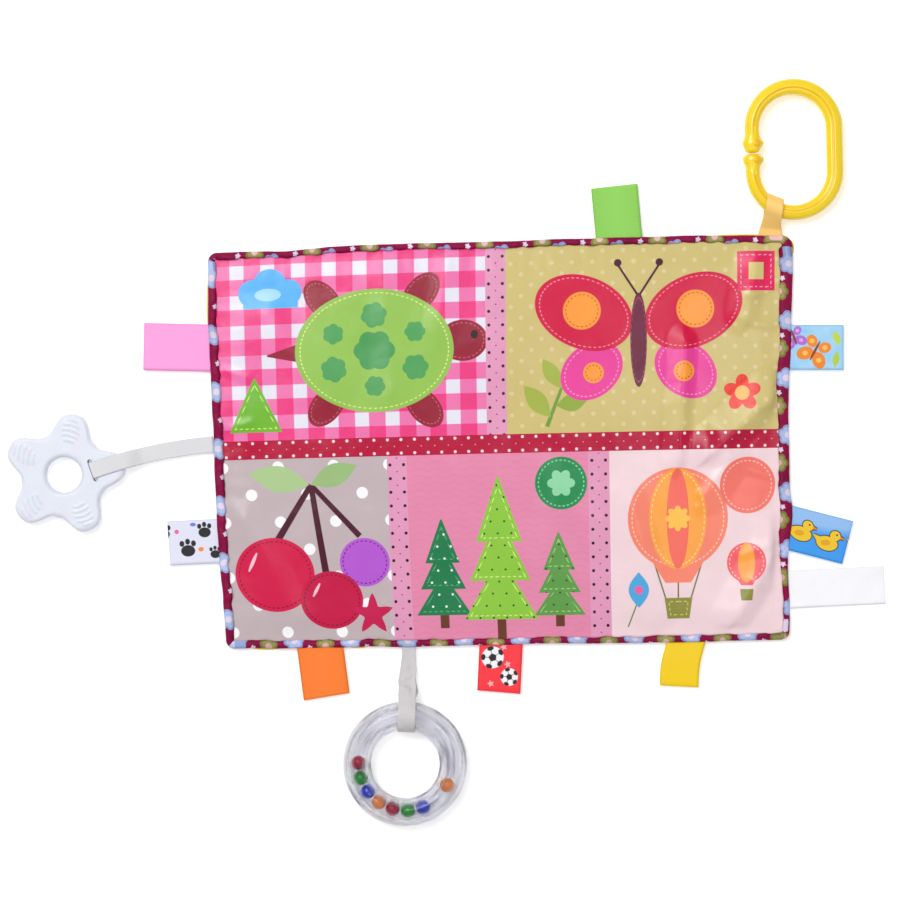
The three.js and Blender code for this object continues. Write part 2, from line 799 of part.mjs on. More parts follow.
// Plan of the strap: a distance along the line, off to one side of it
function bentPlan(run, side) {
  const share = THREE.MathUtils.clamp(run / teetherRun, 0, 1);
  const beyond = run - share * teetherRun;
  const ahead = teetherLine.getTangentAt(share);
  return teetherLine
    .getPointAt(share)
    .addScaledVector(ahead, beyond)
    .addScaledVector(turn(ahead, -90), side * teetherStrapWidth);
}
const teetherStrap = add(
  "teether_strap",
  ribbonSolid(teetherStrapProfile(), bentPlan),
  satin(0xe9e6ea),
);
hingeOn(teetherStrap, teetherSeat.root, seamHeight, teetherSeat.along);

// Star teether: a wavy round with a hole, a slot for the strap, and a channel under the bar
function starSolid() {
  const mean = (starTipRadius + starNotchRadius) / 2;
  const wave = (starTipRadius - starNotchRadius) / 2;
  const outline = Array.from({ length: starSides }, (_, i) => {
    const angle = (360 * i) / starSides;
    return fromAngle(angle).multiplyScalar(mean + wave * Math.cos(starArms * degrees(angle)));
  });
  const shape = new THREE.Shape(outline);
  const hole = new THREE.Path().absarc(0, 0, starHoleRadius, 0, 2 * Math.PI, true);
  shape.holes.push(new THREE.Path(hole.getPoints(roundSides).slice(0, -1)));
  const body = new THREE.ExtrudeGeometry(shape, {
    depth: starThickness - 2 * starEdgeRound,
    bevelThickness: starEdgeRound,
    bevelSize: starEdgeRound,
    bevelOffset: -starEdgeRound,
    bevelSegments: 2,
    curveSegments: 1,
  }).translate(0, 0, starEdgeRound);
  const inStar = (geometry) =>
    geometry
      .rotateZ(strapEndAhead.angle() - Math.PI - degrees(starArmAngle))
      .translate(slotCentreRadius, 0, 0);
  const slotBar = new THREE.BoxGeometry(slotWidth, slotLength, 3 * starThickness);
  const channelWidth = teetherStrapWidth + 8 * teetherStrapGap;
  const channelLength = barLength + starTipRadius;
  const channel = new THREE.BoxGeometry(channelLength, channelWidth, 2 * channelDepth);
  channel.translate(channelLength / 2, 0, 0);
  return cutFrom(body, inStar(slotBar), inStar(channel));
}
const star = add("star_teether", starSolid(), { color: 0xe6e9f5, roughness: 0.5 });
const slotCentre = teetherLine.getPoint(1);
const starCentre = slotCentre.clone().addScaledVector(armAhead, -slotCentreRadius);
star.position.set(starCentre.x, starCentre.y, starBottom);
star.rotation.z = degrees(starArmAngle);
const pivotShare = pivotRun / teetherRun;
const pivotAxis = turn(teetherLine.getTangentAt(pivotShare), -90);
hingeOn(star, teetherLine.getPointAt(pivotShare), pivotHeight, pivotAxis);

export default blanket;
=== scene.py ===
"""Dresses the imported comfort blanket: printed cloth, ribbons, link, teether and rattle ring.

Lengths in the classes are millimetres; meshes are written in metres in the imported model's frame.
"""
import logging
import math
from dataclasses import dataclass
from enum import Enum, IntEnum
from typing import Callable, Optional, Sequence, TypeVar, Union

import bmesh
import bpy
from mathutils import Matrix, Vector, noise
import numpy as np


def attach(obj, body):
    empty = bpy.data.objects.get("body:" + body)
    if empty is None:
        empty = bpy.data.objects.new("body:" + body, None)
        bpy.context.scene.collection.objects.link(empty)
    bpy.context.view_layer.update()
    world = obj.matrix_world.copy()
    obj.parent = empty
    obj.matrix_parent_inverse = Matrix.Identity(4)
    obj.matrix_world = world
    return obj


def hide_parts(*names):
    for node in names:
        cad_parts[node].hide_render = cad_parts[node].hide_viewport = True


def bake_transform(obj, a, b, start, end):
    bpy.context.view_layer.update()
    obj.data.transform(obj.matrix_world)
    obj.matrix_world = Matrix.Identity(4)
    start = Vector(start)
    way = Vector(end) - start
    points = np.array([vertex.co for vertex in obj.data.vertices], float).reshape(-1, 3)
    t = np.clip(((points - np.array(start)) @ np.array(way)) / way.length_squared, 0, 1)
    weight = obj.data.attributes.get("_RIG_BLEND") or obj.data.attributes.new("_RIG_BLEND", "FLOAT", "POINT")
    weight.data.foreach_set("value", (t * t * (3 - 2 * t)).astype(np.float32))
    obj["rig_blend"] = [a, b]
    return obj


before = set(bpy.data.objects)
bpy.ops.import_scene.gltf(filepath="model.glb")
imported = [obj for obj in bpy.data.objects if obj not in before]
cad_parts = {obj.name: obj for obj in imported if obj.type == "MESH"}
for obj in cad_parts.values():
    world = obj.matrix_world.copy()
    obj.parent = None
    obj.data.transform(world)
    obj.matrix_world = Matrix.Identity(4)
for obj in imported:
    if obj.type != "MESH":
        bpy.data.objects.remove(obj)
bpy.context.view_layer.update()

log = logging.getLogger("comfort_blanket")

MM = 0.001
FULL_TURN = 2 * math.pi
ORIGIN = (0.0, 0.0, 0.0)
PRINT_MAP = "cloth"
HALF_GAP = 0.1
Socket = bpy.types.NodeSocket
Tree = bpy.types.NodeTree
Piece = bpy.types.Object
Mesh = bmesh.types.BMesh
Numbers = Sequence[float]
Pair = tuple[float, float]
Path = list[Pair]
Value = Union[Socket, float, Numbers]
Sockets = dict[str, Socket]
Place = Callable[[float, float], Vector]
Item = TypeVar("Item")


def linear(code: str) -> tuple[float, float, float, float]:
    """Turns a hex colour of six digits into Blender's linear one, with alpha 1."""
    shares = [int(code[i : i + 2], 16) / 255 for i in (0, 2, 4)]
    red, green, blue = (s / 12.92 if s <= 0.04045 else ((s + 0.055) / 1.055) ** 2.4 for s in shares)
    return red, green, blue, 1.0


def smooth(share: float) -> float:
    """Eases a share from 0 to 1, held at both ends."""
    held = min(max(share, 0.0), 1.0)
    return held * held * (3 - 2 * held)


def mix(first: float, last: float, share: float) -> float:
    """The value a share of the way between two."""
    return first + (last - first) * share


def bell(away: float, reach: float) -> float:
    """1 at no distance away, falling off smoothly over a reach."""
    return math.exp(-((away / reach) ** 2))


def turned(vector: Vector, angle: float) -> Vector:
    """A plan vector turned anticlockwise by an angle in degrees."""
    cos, sin = math.cos(math.radians(angle)), math.sin(math.radians(angle))
    return Vector((vector.x * cos - vector.y * sin, vector.x * sin + vector.y * cos))


def raised(point: Vector, height: float) -> Vector:
    """A plan point at a height."""
    return Vector((point.x, point.y, height))


def ripple(x: float, y: float, length: float, seed: float) -> float:
    """Smooth noise from -1 to 1 over a plan place, at a wavelength."""
    return noise.noise(Vector((x / length, y / length, seed)))


def distances(points: Sequence[Numbers]) -> list[float]:
    """The distance run from the first point to each one."""
    runs = [0.0]
    for first, last in zip(points, points[1:]):
        runs.append(runs[-1] + math.dist(first, last))
    return runs


def even(count: int, first: float = 0.0, last: float = 1.0) -> list[float]:
    """Evenly spaced values from first to last, both included, in count steps."""
    return [mix(first, last, i / count) for i in range(count + 1)]


def nth(items: Sequence[Item], share: float) -> Item:
    """The item at a share of the way through a list."""
    return items[round(share * (len(items) - 1))]


def arc(middle: Pair, radius: float, angles: Numbers) -> Path:
    """Points round a middle, at angles in radians."""
    return [(middle[0] + radius * math.cos(a), middle[1] + radius * math.sin(a)) for a in angles]


def between(start: Pair, end: Pair, count: int) -> Path:
    """The points inside a straight line of count steps, without its ends."""
    return [(mix(start[0], end[0], s), mix(start[1], end[1], s)) for s in even(count)[1:-1]]


class Wiring:
    """Adds nodes to a tree and links them."""

    def __init__(self, tree: Tree) -> None:
        """Takes the tree that the nodes go into."""
        self.tree = tree

    def add(
        self, kind: str, values: Optional[dict[Union[int, str], Value]] = None, **settings: object
    ) -> bpy.types.Node:
        """Adds a node with its settings, and feeds its inputs by name or number."""
        node = self.tree.nodes.new(kind)
        for name, setting in settings.items():
            setattr(node, name, setting)
        for name, value in (values or {}).items():
            if isinstance(value, Socket):
                self.tree.links.new(value, node.inputs[name])
            else:
                node.inputs[name].default_value = value
        return node

    def math(self, operation: str, *values: Value, clamp: bool = False) -> Socket:
        """A Math node's result."""
        fed = dict(enumerate(values))
        return self.add("ShaderNodeMath", fed, operation=operation, use_clamp=clamp).outputs[0]

    def plus(self, first: Value, second: Value) -> Socket:
        """The sum of two numbers."""
        return self.math("ADD", first, second)

    def minus(self, first: Value, second: Value) -> Socket:
        """The first number less the second."""
        return self.math("SUBTRACT", first, second)

    def times(self, first: Value, second: Value) -> Socket:
        """The product of two numbers."""
        return self.math("MULTIPLY", first, second)

    def over(self, first: Value, second: Value) -> Socket:
        """The first number divided by the second."""
        return self.math("DIVIDE", first, second)

    def ramp(self, value: Value, slope: Value, start: Value, clamp: bool = False) -> Socket:
        """A number times a slope, plus a start."""
        return self.math("MULTIPLY_ADD", value, slope, start, clamp=clamp)

    def vector(self, operation: str, *values: Value) -> Socket:
        """A Vector Math node's result."""
        node = self.add("ShaderNodeVectorMath", dict(enumerate(values)), operation=operation)
        return node.outputs["Value" if operation in ("LENGTH", "DOT_PRODUCT") else "Vector"]

    def scaled(self, vector: Value, factor: Value) -> Socket:
        """A vector times a number."""
        fed = {0: vector, "Scale": factor}
        return self.add("ShaderNodeVectorMath", fed, operation="SCALE").outputs["Vector"]

    def rotated(self, vector: Value, angle: Value) -> Socket:
        """A vector turned about Z by an angle in radians."""
        fed = {"Vector": vector, "Angle": angle}
        return self.add("ShaderNodeVectorRotate", fed, rotation_type="Z_AXIS").outputs["Vector"]

    def parts(self, vector: Value) -> Sequence[Socket]:
        """The X, Y and Z of a vector."""
        return tuple(self.add("ShaderNodeSeparateXYZ", {0: vector}).outputs)

    def joined(self, x: Value, y: Value = 0.0, z: Value = 0.0) -> Socket:
        """A vector of three numbers."""
        return self.add("ShaderNodeCombineXYZ", {0: x, 1: y, 2: z}).outputs[0]

    def noise(self, place: Value, scale: Value, detail: float = 2.0, space: str = "2D") -> Socket:
        """Smooth noise from 0 to 1 over a place."""
        fed = {"Vector": place, "Scale": scale, "Detail": detail}
        return self.add("ShaderNodeTexNoise", fed, noise_dimensions=space).outputs["Fac"]

    def eased(self, value: Value, **limits: float) -> Socket:
        """A number moved smoothly from one range to another, 0 to 1 where not said."""
        fed = {name.replace("_", " ").title(): limit for name, limit in limits.items()}
        node = self.add("ShaderNodeMapRange", fed, interpolation_type="SMOOTHSTEP")
        self.tree.links.new(value, node.inputs["Value"])
        return node.outputs["Result"]

    def mix(self, share: Value, first: Value, second: Value) -> Socket:
        """Two colours mixed by a share."""
        fed = {0: share, 6: first, 7: second}
        return self.add("ShaderNodeMix", fed, data_type="RGBA").outputs[2]

    def within(self, distance: Socket, soft: float = 0.3) -> Socket:
        """1 where a signed distance is inside, 0 outside, with a soft edge in millimetres."""
        return self.math("SUBTRACT", 0.5, self.over(distance, soft), clamp=True)

    def group(self, tree: Tree, **values: Value) -> Sockets:
        """The outputs of a shared group with its own values."""
        return self.add("ShaderNodeGroup", values, node_tree=tree).outputs


Drawing = Callable[[Wiring, Sockets], Sockets]


def shared_group(name: str, **inputs: Value) -> Callable[[Drawing], Callable[[], Tree]]:
    """Turns a function that fills in a node group into one that hands the group out.

    Args:
        name: The group's name. It is built once.
        inputs: Each input's first value; three numbers make it a vector.

    Returns:
        The decorator.
    """

    def build(drawing: Drawing) -> Tree:
        tree = bpy.data.node_groups.new(name, "ShaderNodeTree")
        for label, first in inputs.items():
            kind = "NodeSocketFloat" if isinstance(first, float) else "NodeSocketVector"
            socket = tree.interface.new_socket(name=label, in_out="INPUT", socket_type=kind)
            socket.default_value = first
        wiring = Wiring(tree)
        results = drawing(wiring, wiring.add("NodeGroupInput").outputs)
        for label in results:
            tree.interface.new_socket(name=label, in_out="OUTPUT", socket_type="NodeSocketFloat")
        wiring.add("NodeGroupOutput", results)
        return tree

    return lambda drawing: lambda: bpy.data.node_groups.get(name) or build(drawing)


def dashed(w: Wiring, distance: Socket, inset: Socket, along: Socket) -> Socket:
    """A dashed line set in from a shape's edge.

    Args:
        w: The tree to add to.
        distance: Signed distance from the edge, negative inside.
        inset: How far inside the line runs.
        along: The place along the line, one dash to each whole number.

    Returns:
        The line's mask.
    """
    half_line = 0.28
    line = w.within(w.minus(w.math("ABSOLUTE", w.plus(distance, inset)), half_line))
    beat = w.math("SINE", w.times(along, FULL_TURN))
    return w.times(line, w.ramp(beat, 2.5, 0.9, clamp=True))


@shared_group(
    "printed disc", Position=ORIGIN, Centre=ORIGIN, Radii=(1.0, 1.0, 1.0), Turn=0.0, Inset=2.0,
    Count=60.0,
)
def disc_group(w: Wiring, given: Sockets) -> Sockets:
    """An ellipse, and the stitches round its inside."""
    away = w.vector("SUBTRACT", given["Position"], given["Centre"])
    share = w.vector("DIVIDE", w.rotated(away, given["Turn"]), given["Radii"])
    mean = w.vector("DOT_PRODUCT", given["Radii"], (0.5, 0.5, 0.0))
    distance = w.times(w.minus(w.vector("LENGTH", share), 1.0), mean)
    x, y, _ = w.parts(share)
    around = w.over(w.math("ARCTAN2", y, x), FULL_TURN)
    stitches = dashed(w, distance, given["Inset"], w.times(around, given["Count"]))
    return {"Mask": w.within(distance), "Stitches": stitches}


@shared_group(
    "printed bar", Position=ORIGIN, Start=ORIGIN, End=(0.0, 1.0, 0.0), First=1.0, Last=1.0,
    Leaf=0.0, Inset=2.0, Pitch=3.0,
)
def bar_group(w: Wiring, given: Sockets) -> Sockets:
    """A bar, taper or leaf between two points, and the stitches inside it."""
    line = w.vector("SUBTRACT", given["End"], given["Start"])
    away = w.vector("SUBTRACT", given["Position"], given["Start"])
    length = w.vector("LENGTH", line)
    share = w.over(w.vector("DOT_PRODUCT", away, line), w.times(length, length))
    cross = w.parts(w.vector("CROSS_PRODUCT", away, line))[2]
    aside = w.over(w.math("ABSOLUTE", cross), length)
    held = w.math("ADD", share, 0.0, clamp=True)
    taper = w.plus(given["First"], w.times(held, w.minus(given["Last"], given["First"])))
    belly = w.math("SINE", w.times(held, math.pi))
    half = w.times(taper, w.plus(1.0, w.times(given["Leaf"], w.minus(belly, 1.0))))
    beyond = w.math("MAXIMUM", w.times(share, -1.0), w.minus(share, 1.0))
    distance = w.math("MAXIMUM", w.minus(aside, half), w.times(beyond, length))
    run = w.plus(w.times(share, length), aside)
    stitches = dashed(w, distance, given["Inset"], w.over(run, given["Pitch"]))
    return {"Mask": w.within(distance), "Stitches": stitches}


@shared_group(
    "printed petals", Position=ORIGIN, Centre=ORIGIN, Radius=5.0, Depth=0.4, Petals=5.0,
    Pointed=0.0, Turn=0.0,
)
def petal_group(w: Wiring, given: Sockets) -> Sockets:
    """A ring of round petals, or of points."""
    away = w.rotated(w.vector("SUBTRACT", given["Position"], given["Centre"]), given["Turn"])
    x, y, _ = w.parts(away)
    angle = w.times(w.math("ARCTAN2", y, x), w.times(given["Petals"], 0.5))
    lobes = w.math("ABSOLUTE", w.math("COSINE", angle))
    points = w.minus(1.0, w.math("ABSOLUTE", w.math("SINE", angle)))
    profile = w.minus(w.plus(lobes, w.times(given["Pointed"], w.minus(points, lobes))), 1.0)
    edge = w.times(given["Radius"], w.plus(1.0, w.times(given["Depth"], profile)))
    return {"Mask": w.within(w.minus(w.vector("LENGTH", away), edge))}


@shared_group(
    "printed dots", Position=ORIGIN, Shift=ORIGIN, Pitch=(10.0, 10.0, 1.0), Stagger=0.5, Radius=1.0
)
def dot_group(w: Wiring, given: Sockets) -> Sockets:
    """Rows of dots, each second row moved along."""
    away = w.vector("SUBTRACT", given["Position"], given["Shift"])
    x, y, _ = w.parts(w.vector("DIVIDE", away, given["Pitch"]))
    odd = w.math("MODULO", w.math("ABSOLUTE", w.math("FLOOR", y)), 2.0)
    column = w.plus(x, w.times(odd, given["Stagger"]))
    cell = w.joined(w.minus(w.math("FRACT", column), 0.5), w.minus(w.math("FRACT", y), 0.5))
    reach = w.vector("LENGTH", w.vector("MULTIPLY", cell, given["Pitch"]))
    return {"Mask": w.within(w.minus(reach, given["Radius"]))}


@shared_group("printed gingham", Position=ORIGIN, Shift=ORIGIN, Pitch=16.5)
def gingham_group(w: Wiring, given: Sockets) -> Sockets:
    """The two sets of stripes of a gingham."""
    half_stripe = 0.272

    def stripes(place: Socket) -> Socket:
        turn = w.math("FRACT", w.over(place, given["Pitch"]))
        off = w.minus(w.math("ABSOLUTE", w.minus(turn, 0.5)), half_stripe)
        return w.within(w.times(off, given["Pitch"]), 0.4)

    x, y, _ = w.parts(w.vector("SUBTRACT", given["Position"], given["Shift"]))
    return {"Across": stripes(x), "Down": stripes(y)}


@shared_group("printed waves", Position=ORIGIN, Pitch=3.8, Half=0.28)
def wave_group(w: Wiring, given: Sockets) -> Sockets:
    """Wavy lines."""
    wave_length, swing = 9.5, 0.75
    x, y, _ = w.parts(given["Position"])
    wave = w.math("SINE", w.times(x, FULL_TURN / wave_length))
    turn = w.math("FRACT", w.over(w.ramp(wave, -swing, y), given["Pitch"]))
    off = w.math("ABSOLUTE", w.minus(turn, 0.5))
    return {"Mask": w.within(w.minus(w.times(off, given["Pitch"]), given["Half"]), 0.4)}


@shared_group("woven threads", Position=ORIGIN, Thread=(0.5, 0.5, 1.0), Patch=0.05)
def weave_group(w: Wiring, given: Sockets) -> Sockets:
    """The relief of woven threads, slow creases and patches of uneven colour; the cloth finishes also paint
    shade from the relief, and on the tape light and shade from the patches.
    """
    crease_scale = 0.09
    x, y, _ = w.parts(w.scaled(w.vector("DIVIDE", given["Position"], given["Thread"]), FULL_TURN))
    crossing = w.times(w.math("SINE", x), w.math("SINE", y))
    return {
        "Relief": w.ramp(crossing, 0.5, 0.5),
        "Patches": w.noise(given["Position"], given["Patch"], 3.0),
        "Creases": w.noise(given["Position"], crease_scale),
    }


@shared_group("moulded surface", Position=ORIGIN, Scuffing=0.2)
def moulding_group(w: Wiring, given: Sockets) -> Sockets:
    """Moulded plastic and silicone: flow marks, fine scuffs and faint unevenness, which the clear ring's
    finish turns up into painted shade.
    """
    stretched = w.vector("MULTIPLY", given["Position"], (1.0, 0.2, 0.6))
    scuffs = w.minus(w.noise(stretched, 3.0, 4.0, "3D"), 0.5)
    marks = w.noise(given["Position"], 0.12, 2.0, "3D")
    return {"Marks": marks, "Wear": w.times(scuffs, given["Scuffing"])}


def pair(size: Union[float, Pair]) -> Pair:
    """Two sizes, from both or from one number for both."""
    return size if isinstance(size, tuple) else (size, size)


class Printer:
    """Prints motifs on a ground colour, one over another."""

    stitch = 2.7

    def __init__(self, wiring: Wiring, position: Socket, ground: Value) -> None:
        """Takes the tree, the place on the cloth in millimetres and the ground colour."""
        self.wiring = wiring
        self.position = position
        self.colour = ground

    def lay(self, mask: Value, ink: str) -> None:
        """Prints a colour where a mask is 1."""
        self.colour = self.wiring.mix(mask, self.colour, linear(ink))

    def _shape(self, tree: Tree, ink: str, thread: Optional[str] = None, **values: Value) -> Socket:
        made = self.wiring.group(tree, Position=self.position, **values)
        self.lay(made["Mask"], ink)
        if thread:
            self.lay(made["Stitches"], thread)
        return made["Mask"]

    def disc(
        self, centre: Pair, radii: Union[float, Pair], ink: str, turn: float = 0.0,
        thread: Optional[str] = None, inset: float = 2.0,
    ) -> Socket:
        """Prints an ellipse.

        Args:
            centre: Its place on the cloth.
            radii: Its two radii, or one number for both.
            ink: Its colour.
            turn: Its turn in degrees, anticlockwise.
            thread: The colour of its stitches, if it has any.
            inset: How far inside its edge they run.

        Returns:
            Its mask.
        """
        wide, tall = pair(radii)
        return self._shape(
            disc_group(), ink, thread, Centre=(*centre, 0.0), Radii=(wide, tall, 1.0),
            Turn=math.radians(-turn), Inset=inset, Count=round((wide + tall) * math.pi / self.stitch),
        )

    def bar(
        self, start: Pair, end: Pair, halves: Union[float, Pair], ink: str, leaf: float = 0.0,
        thread: Optional[str] = None,
    ) -> Socket:
        """Prints a bar, a taper or, with leaf at 1, a leaf between two points; returns its mask."""
        first, last = pair(halves)
        return self._shape(
            bar_group(), ink, thread, Start=(*start, 0.0), End=(*end, 0.0), First=first, Last=last,
            Leaf=leaf,
        )

    def petals(
        self, centre: Pair, radius: float, ink: str, count: int = 5, depth: float = 0.4,
        pointed: float = 0.0, turn: float = 0.0,
    ) -> Socket:
        """Prints a ring of petals, or with pointed at 1 a star, and returns its mask."""
        return self._shape(
            petal_group(), ink, Centre=(*centre, 0.0), Radius=radius, Depth=depth,
            Petals=float(count), Pointed=pointed, Turn=math.radians(-turn),
        )

    def dots(
        self, pitch: Pair, radius: float, ink: str, shift: Pair = (0.0, 0.0), stagger: float = 0.5,
        only_in: Optional[Socket] = None,
    ) -> None:
        """Prints rows of dots, everywhere or inside a mask."""
        mask = self.wiring.group(
            dot_group(), Position=self.position, Shift=(*shift, 0.0), Pitch=(*pitch, 1.0),
            Stagger=stagger, Radius=radius,
        )["Mask"]
        self.lay(mask if only_in is None else self.wiring.times(mask, only_in), ink)


Artwork = Callable[[Printer], None]


def empty_material(name: str) -> tuple[bpy.types.Material, Wiring]:
    """A material with nothing in its tree yet, and the tree's wiring."""
    material = bpy.data.materials.new(name)
    material.use_nodes = True
    material.node_tree.nodes.clear()
    return material, Wiring(material.node_tree)


def end_surface(
    w: Wiring, colour: Value, shade: Value, height: Value, look: dict[str, Value]
) -> None:
    """Ends a material's tree.

    Args:
        w: The tree's wiring.
        colour: The base colour.
        shade: Its brightness, 1 for as it is.
        height: The relief in millimetres.
        look: The shader's other inputs.
    """
    dyed = w.add("ShaderNodeHueSaturation", {"Value": shade, "Color": colour}).outputs["Color"]
    bump = w.add("ShaderNodeBump", {"Distance": MM, "Height": height}).outputs["Normal"]
    shader = w.add("ShaderNodeBsdfPrincipled", {"Base Color": dyed, "Normal": bump, **look})
    w.add("ShaderNodeOutputMaterial", {"Surface": shader.outputs["BSDF"]})


class Weave(Enum):
    """How a cloth is woven: the pitch of its threads along and across, in millimetres."""

    SATIN = (0.9, 0.22)
    PLAIN = (0.45, 0.45)
    RIBBED = (0.85, 60.0)
    BRAIDED = (1.5, 1.1)


@dataclass(frozen=True)
class ClothFinish:
    """A woven cloth, plain or printed."""

    name: str
    colour: str
    weave: Weave
    roughness: float = 0.45
    sheen: float = 0.04
    relief: float = 0.03
    crease: float = 0.5
    mottle_and_shade: float = 0.08
    specular: float = 0.28
    artwork: Optional[Artwork] = None

    def material(self) -> bpy.types.Material:
        """Builds the material."""
        material, w = empty_material(self.name)
        place = w.add("ShaderNodeUVMap", uv_map=PRINT_MAP).outputs["UV"]
        position = w.scaled(place, 1 / MM)
        printer = Printer(w, position, linear(self.colour))
        if self.artwork:
            self.artwork(printer)
        threads = w.group(weave_group(), Position=position, Thread=(*self.weave.value, 1.0))
        patches, relief = threads["Patches"], threads["Relief"]
        # Brightness: random patches of tone, set strong on the tape to paint its light and shade, plus
        # painted shade that darkens the low parts of the threads' relief.
        patchy_tone_and_light = w.ramp(patches, self.mottle_and_shade, 1 - self.mottle_and_shade / 2)
        thread_shade = w.ramp(relief, self.mottle_and_shade, -self.mottle_and_shade / 2)
        height = w.ramp(threads["Creases"], self.crease, w.times(relief, self.relief))
        look = {
            "Roughness": w.ramp(patches, 0.1, self.roughness - 0.05),
            "Sheen Weight": self.sheen,
            "Sheen Roughness": 0.4,
            "Specular IOR Level": self.specular,
        }
        end_surface(w, printer.colour, w.plus(patchy_tone_and_light, thread_shade), height, look)
        return material


@dataclass(frozen=True)
class MouldedFinish:
    """Moulded plastic or silicone, solid, tinted or clear."""

    name: str
    colour: str
    roughness: float = 0.2
    clear: float = 0.0
    alpha: float = 1.0
    coat: float = 0.0
    scuffing: float = 0.15
    uneven_tone_and_shade: float = 0.06
    bump: float = 0.15
    soft: float = 0.0
    shade_streaks: float = 0.0
    around: Pair = (0.0, 0.0)

    def material(self) -> bpy.types.Material:
        """Builds the material."""
        material, w = empty_material(self.name)
        position = w.scaled(w.add("ShaderNodeTexCoord").outputs["Object"], 1 / MM)
        made = w.group(moulding_group(), Position=position, Scuffing=self.scuffing)
        shade = w.ramp(made["Marks"], self.uneven_tone_and_shade, 1 - self.uneven_tone_and_shade / 2)
        cover: Value = self.alpha
        if self.shade_streaks:
            # Painted shade: darker streaks round the ring, and more cover at grazing edges for dark
            # outlines, standing in for how the clear tube refracts light.
            streak_shade = self._painted_shade_streaks(w, position)
            shade = w.ramp(streak_shade, -0.42, shade)
            facing = w.add("ShaderNodeLayerWeight").outputs["Facing"]
            rim = w.ramp(w.math("POWER", facing, 3.0), 0.5, self.alpha)
            cover = w.ramp(streak_shade, self.shade_streaks, rim, clamp=True)
        look = {
            "Roughness": w.plus(made["Wear"], self.roughness),
            "Transmission Weight": self.clear,
            "Alpha": cover,
            "Coat Weight": self.coat,
            "Coat Roughness": 0.06,
            "Subsurface Weight": self.soft,
            "Subsurface Scale": 2 * MM,
        }
        end_surface(w, linear(self.colour), shade, w.times(made["Marks"], self.bump), look)
        return material

    def _painted_shade_streaks(self, w: Wiring, position: Socket) -> Socket:
        """Painted shade: darker streaks that run round a hollow ring, standing in for the bands that
        refraction draws in its clear tube, from 0 to 1.
        """
        x, y, _ = w.parts(w.vector("SUBTRACT", position, (*self.around, 0.0)))
        radius = w.vector("LENGTH", w.joined(x, y))
        place = w.joined(w.times(radius, 0.42), w.over(x, radius), w.over(y, radius))
        return w.eased(w.noise(place, 1.3, 2.0, "3D"), from_min=0.45, from_max=0.68)


Finish = Union[ClothFinish, MouldedFinish]


def placed(name: str, data: bpy.types.ID) -> Piece:
    """A new object in the scene."""
    piece = bpy.data.objects.new(name, data)
    bpy.context.scene.collection.objects.link(piece)
    return piece


def piece_from(
    build: Mesh, name: str, *finishes: Finish, thickness: float = 0.0, offset: float = 0.0
) -> Piece:
    """Makes a smooth-shaded object in the scene from a bmesh, which it frees.

    Args:
        build: The bmesh.
        name: The piece's name.
        finishes: What it is made of.
        thickness: A sheet's thickness in millimetres.
        offset: Where the thickness goes: below the sheet at -1, above at 1 and both ways at 0.

    Returns:
        The piece.
    """
    for face in build.faces:
        face.smooth = True
    mesh = bpy.data.meshes.new(name)
    build.to_mesh(mesh)
    build.free()
    piece = placed(name, mesh)
    for finish in finishes:
        mesh.materials.append(finish.material())
    if thickness:
        wall = piece.modifiers.new("thickness", "SOLIDIFY")
        wall.thickness = thickness * MM
        wall.offset = offset
        wall.use_even_offset = True
    return piece


def shaped_grid(
    us: Numbers, vs: Numbers, place: Place, cloth: Optional[Place] = None,
    region: Optional[Callable[[float, float], int]] = None,
) -> Mesh:
    """A grid laid to a shape.

    Args:
        us: The grid's lines one way.
        vs: Its lines the other way.
        place: Gives the point in millimetres at a u and a v.
        cloth: Gives the place on the flat cloth in millimetres, for the print.
        region: Gives the material's number at the middle of a face.

    Returns:
        The bmesh, in metres.
    """
    build = bmesh.new()
    bmesh.ops.create_grid(build, x_segments=len(us) - 1, y_segments=len(vs) - 1, size=0.5)
    spot = {v: (nth(us, v.co.x + 0.5), nth(vs, v.co.y + 0.5)) for v in build.verts}
    if cloth:
        layer = build.loops.layers.uv.new(PRINT_MAP)
        for face in build.faces:
            for loop in face.loops:
                loop[layer].uv = cloth(*spot[loop.vert]) * MM
    if region:
        for face in build.faces:
            corners = [spot[vertex] for vertex in face.verts]
            face.material_index = region(*(sum(line) / 4 for line in zip(*corners)))
    for vertex, (u, v) in spot.items():
        vertex.co = place(u, v) * MM
    return build


def close(build: Mesh) -> Mesh:
    """Merges the edges that meet, fills the open ends and turns the faces outwards."""
    bmesh.ops.remove_doubles(build, verts=build.verts, dist=1e-6)
    bmesh.ops.recalc_face_normals(build, faces=build.faces)
    bmesh.ops.holes_fill(build, edges=build.edges, sides=60)
    bmesh.ops.recalc_face_normals(build, faces=build.faces)
    return build


def report(piece: Piece, body: str, *nodes: str, slot: str) -> None:
    """Puts a piece on its body, in place of its CAD nodes, and logs it."""
    if "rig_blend" not in piece:
        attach(piece, body)
    if nodes:
        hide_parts(*nodes)
    log.info("%s: %d faces, for %s", piece.name, len(piece.data.polygons), ", ".join(nodes))


@dataclass
class Seat:
    """A place on the blanket's edge: the point, and the directions along the edge and out."""

    point: Vector
    along: Vector
    out: Vector


class Edge(Enum):
    """The blanket's edges, clockwise: their corners and how far each bows out."""

    TOP = ("top_left", "top_right", 1.7)
    RIGHT = ("top_right", "bottom_right", 0.0)
    BOTTOM = ("bottom_right", "bottom_left", 0.6)
    LEFT = ("bottom_left", "top_left", 2.2)


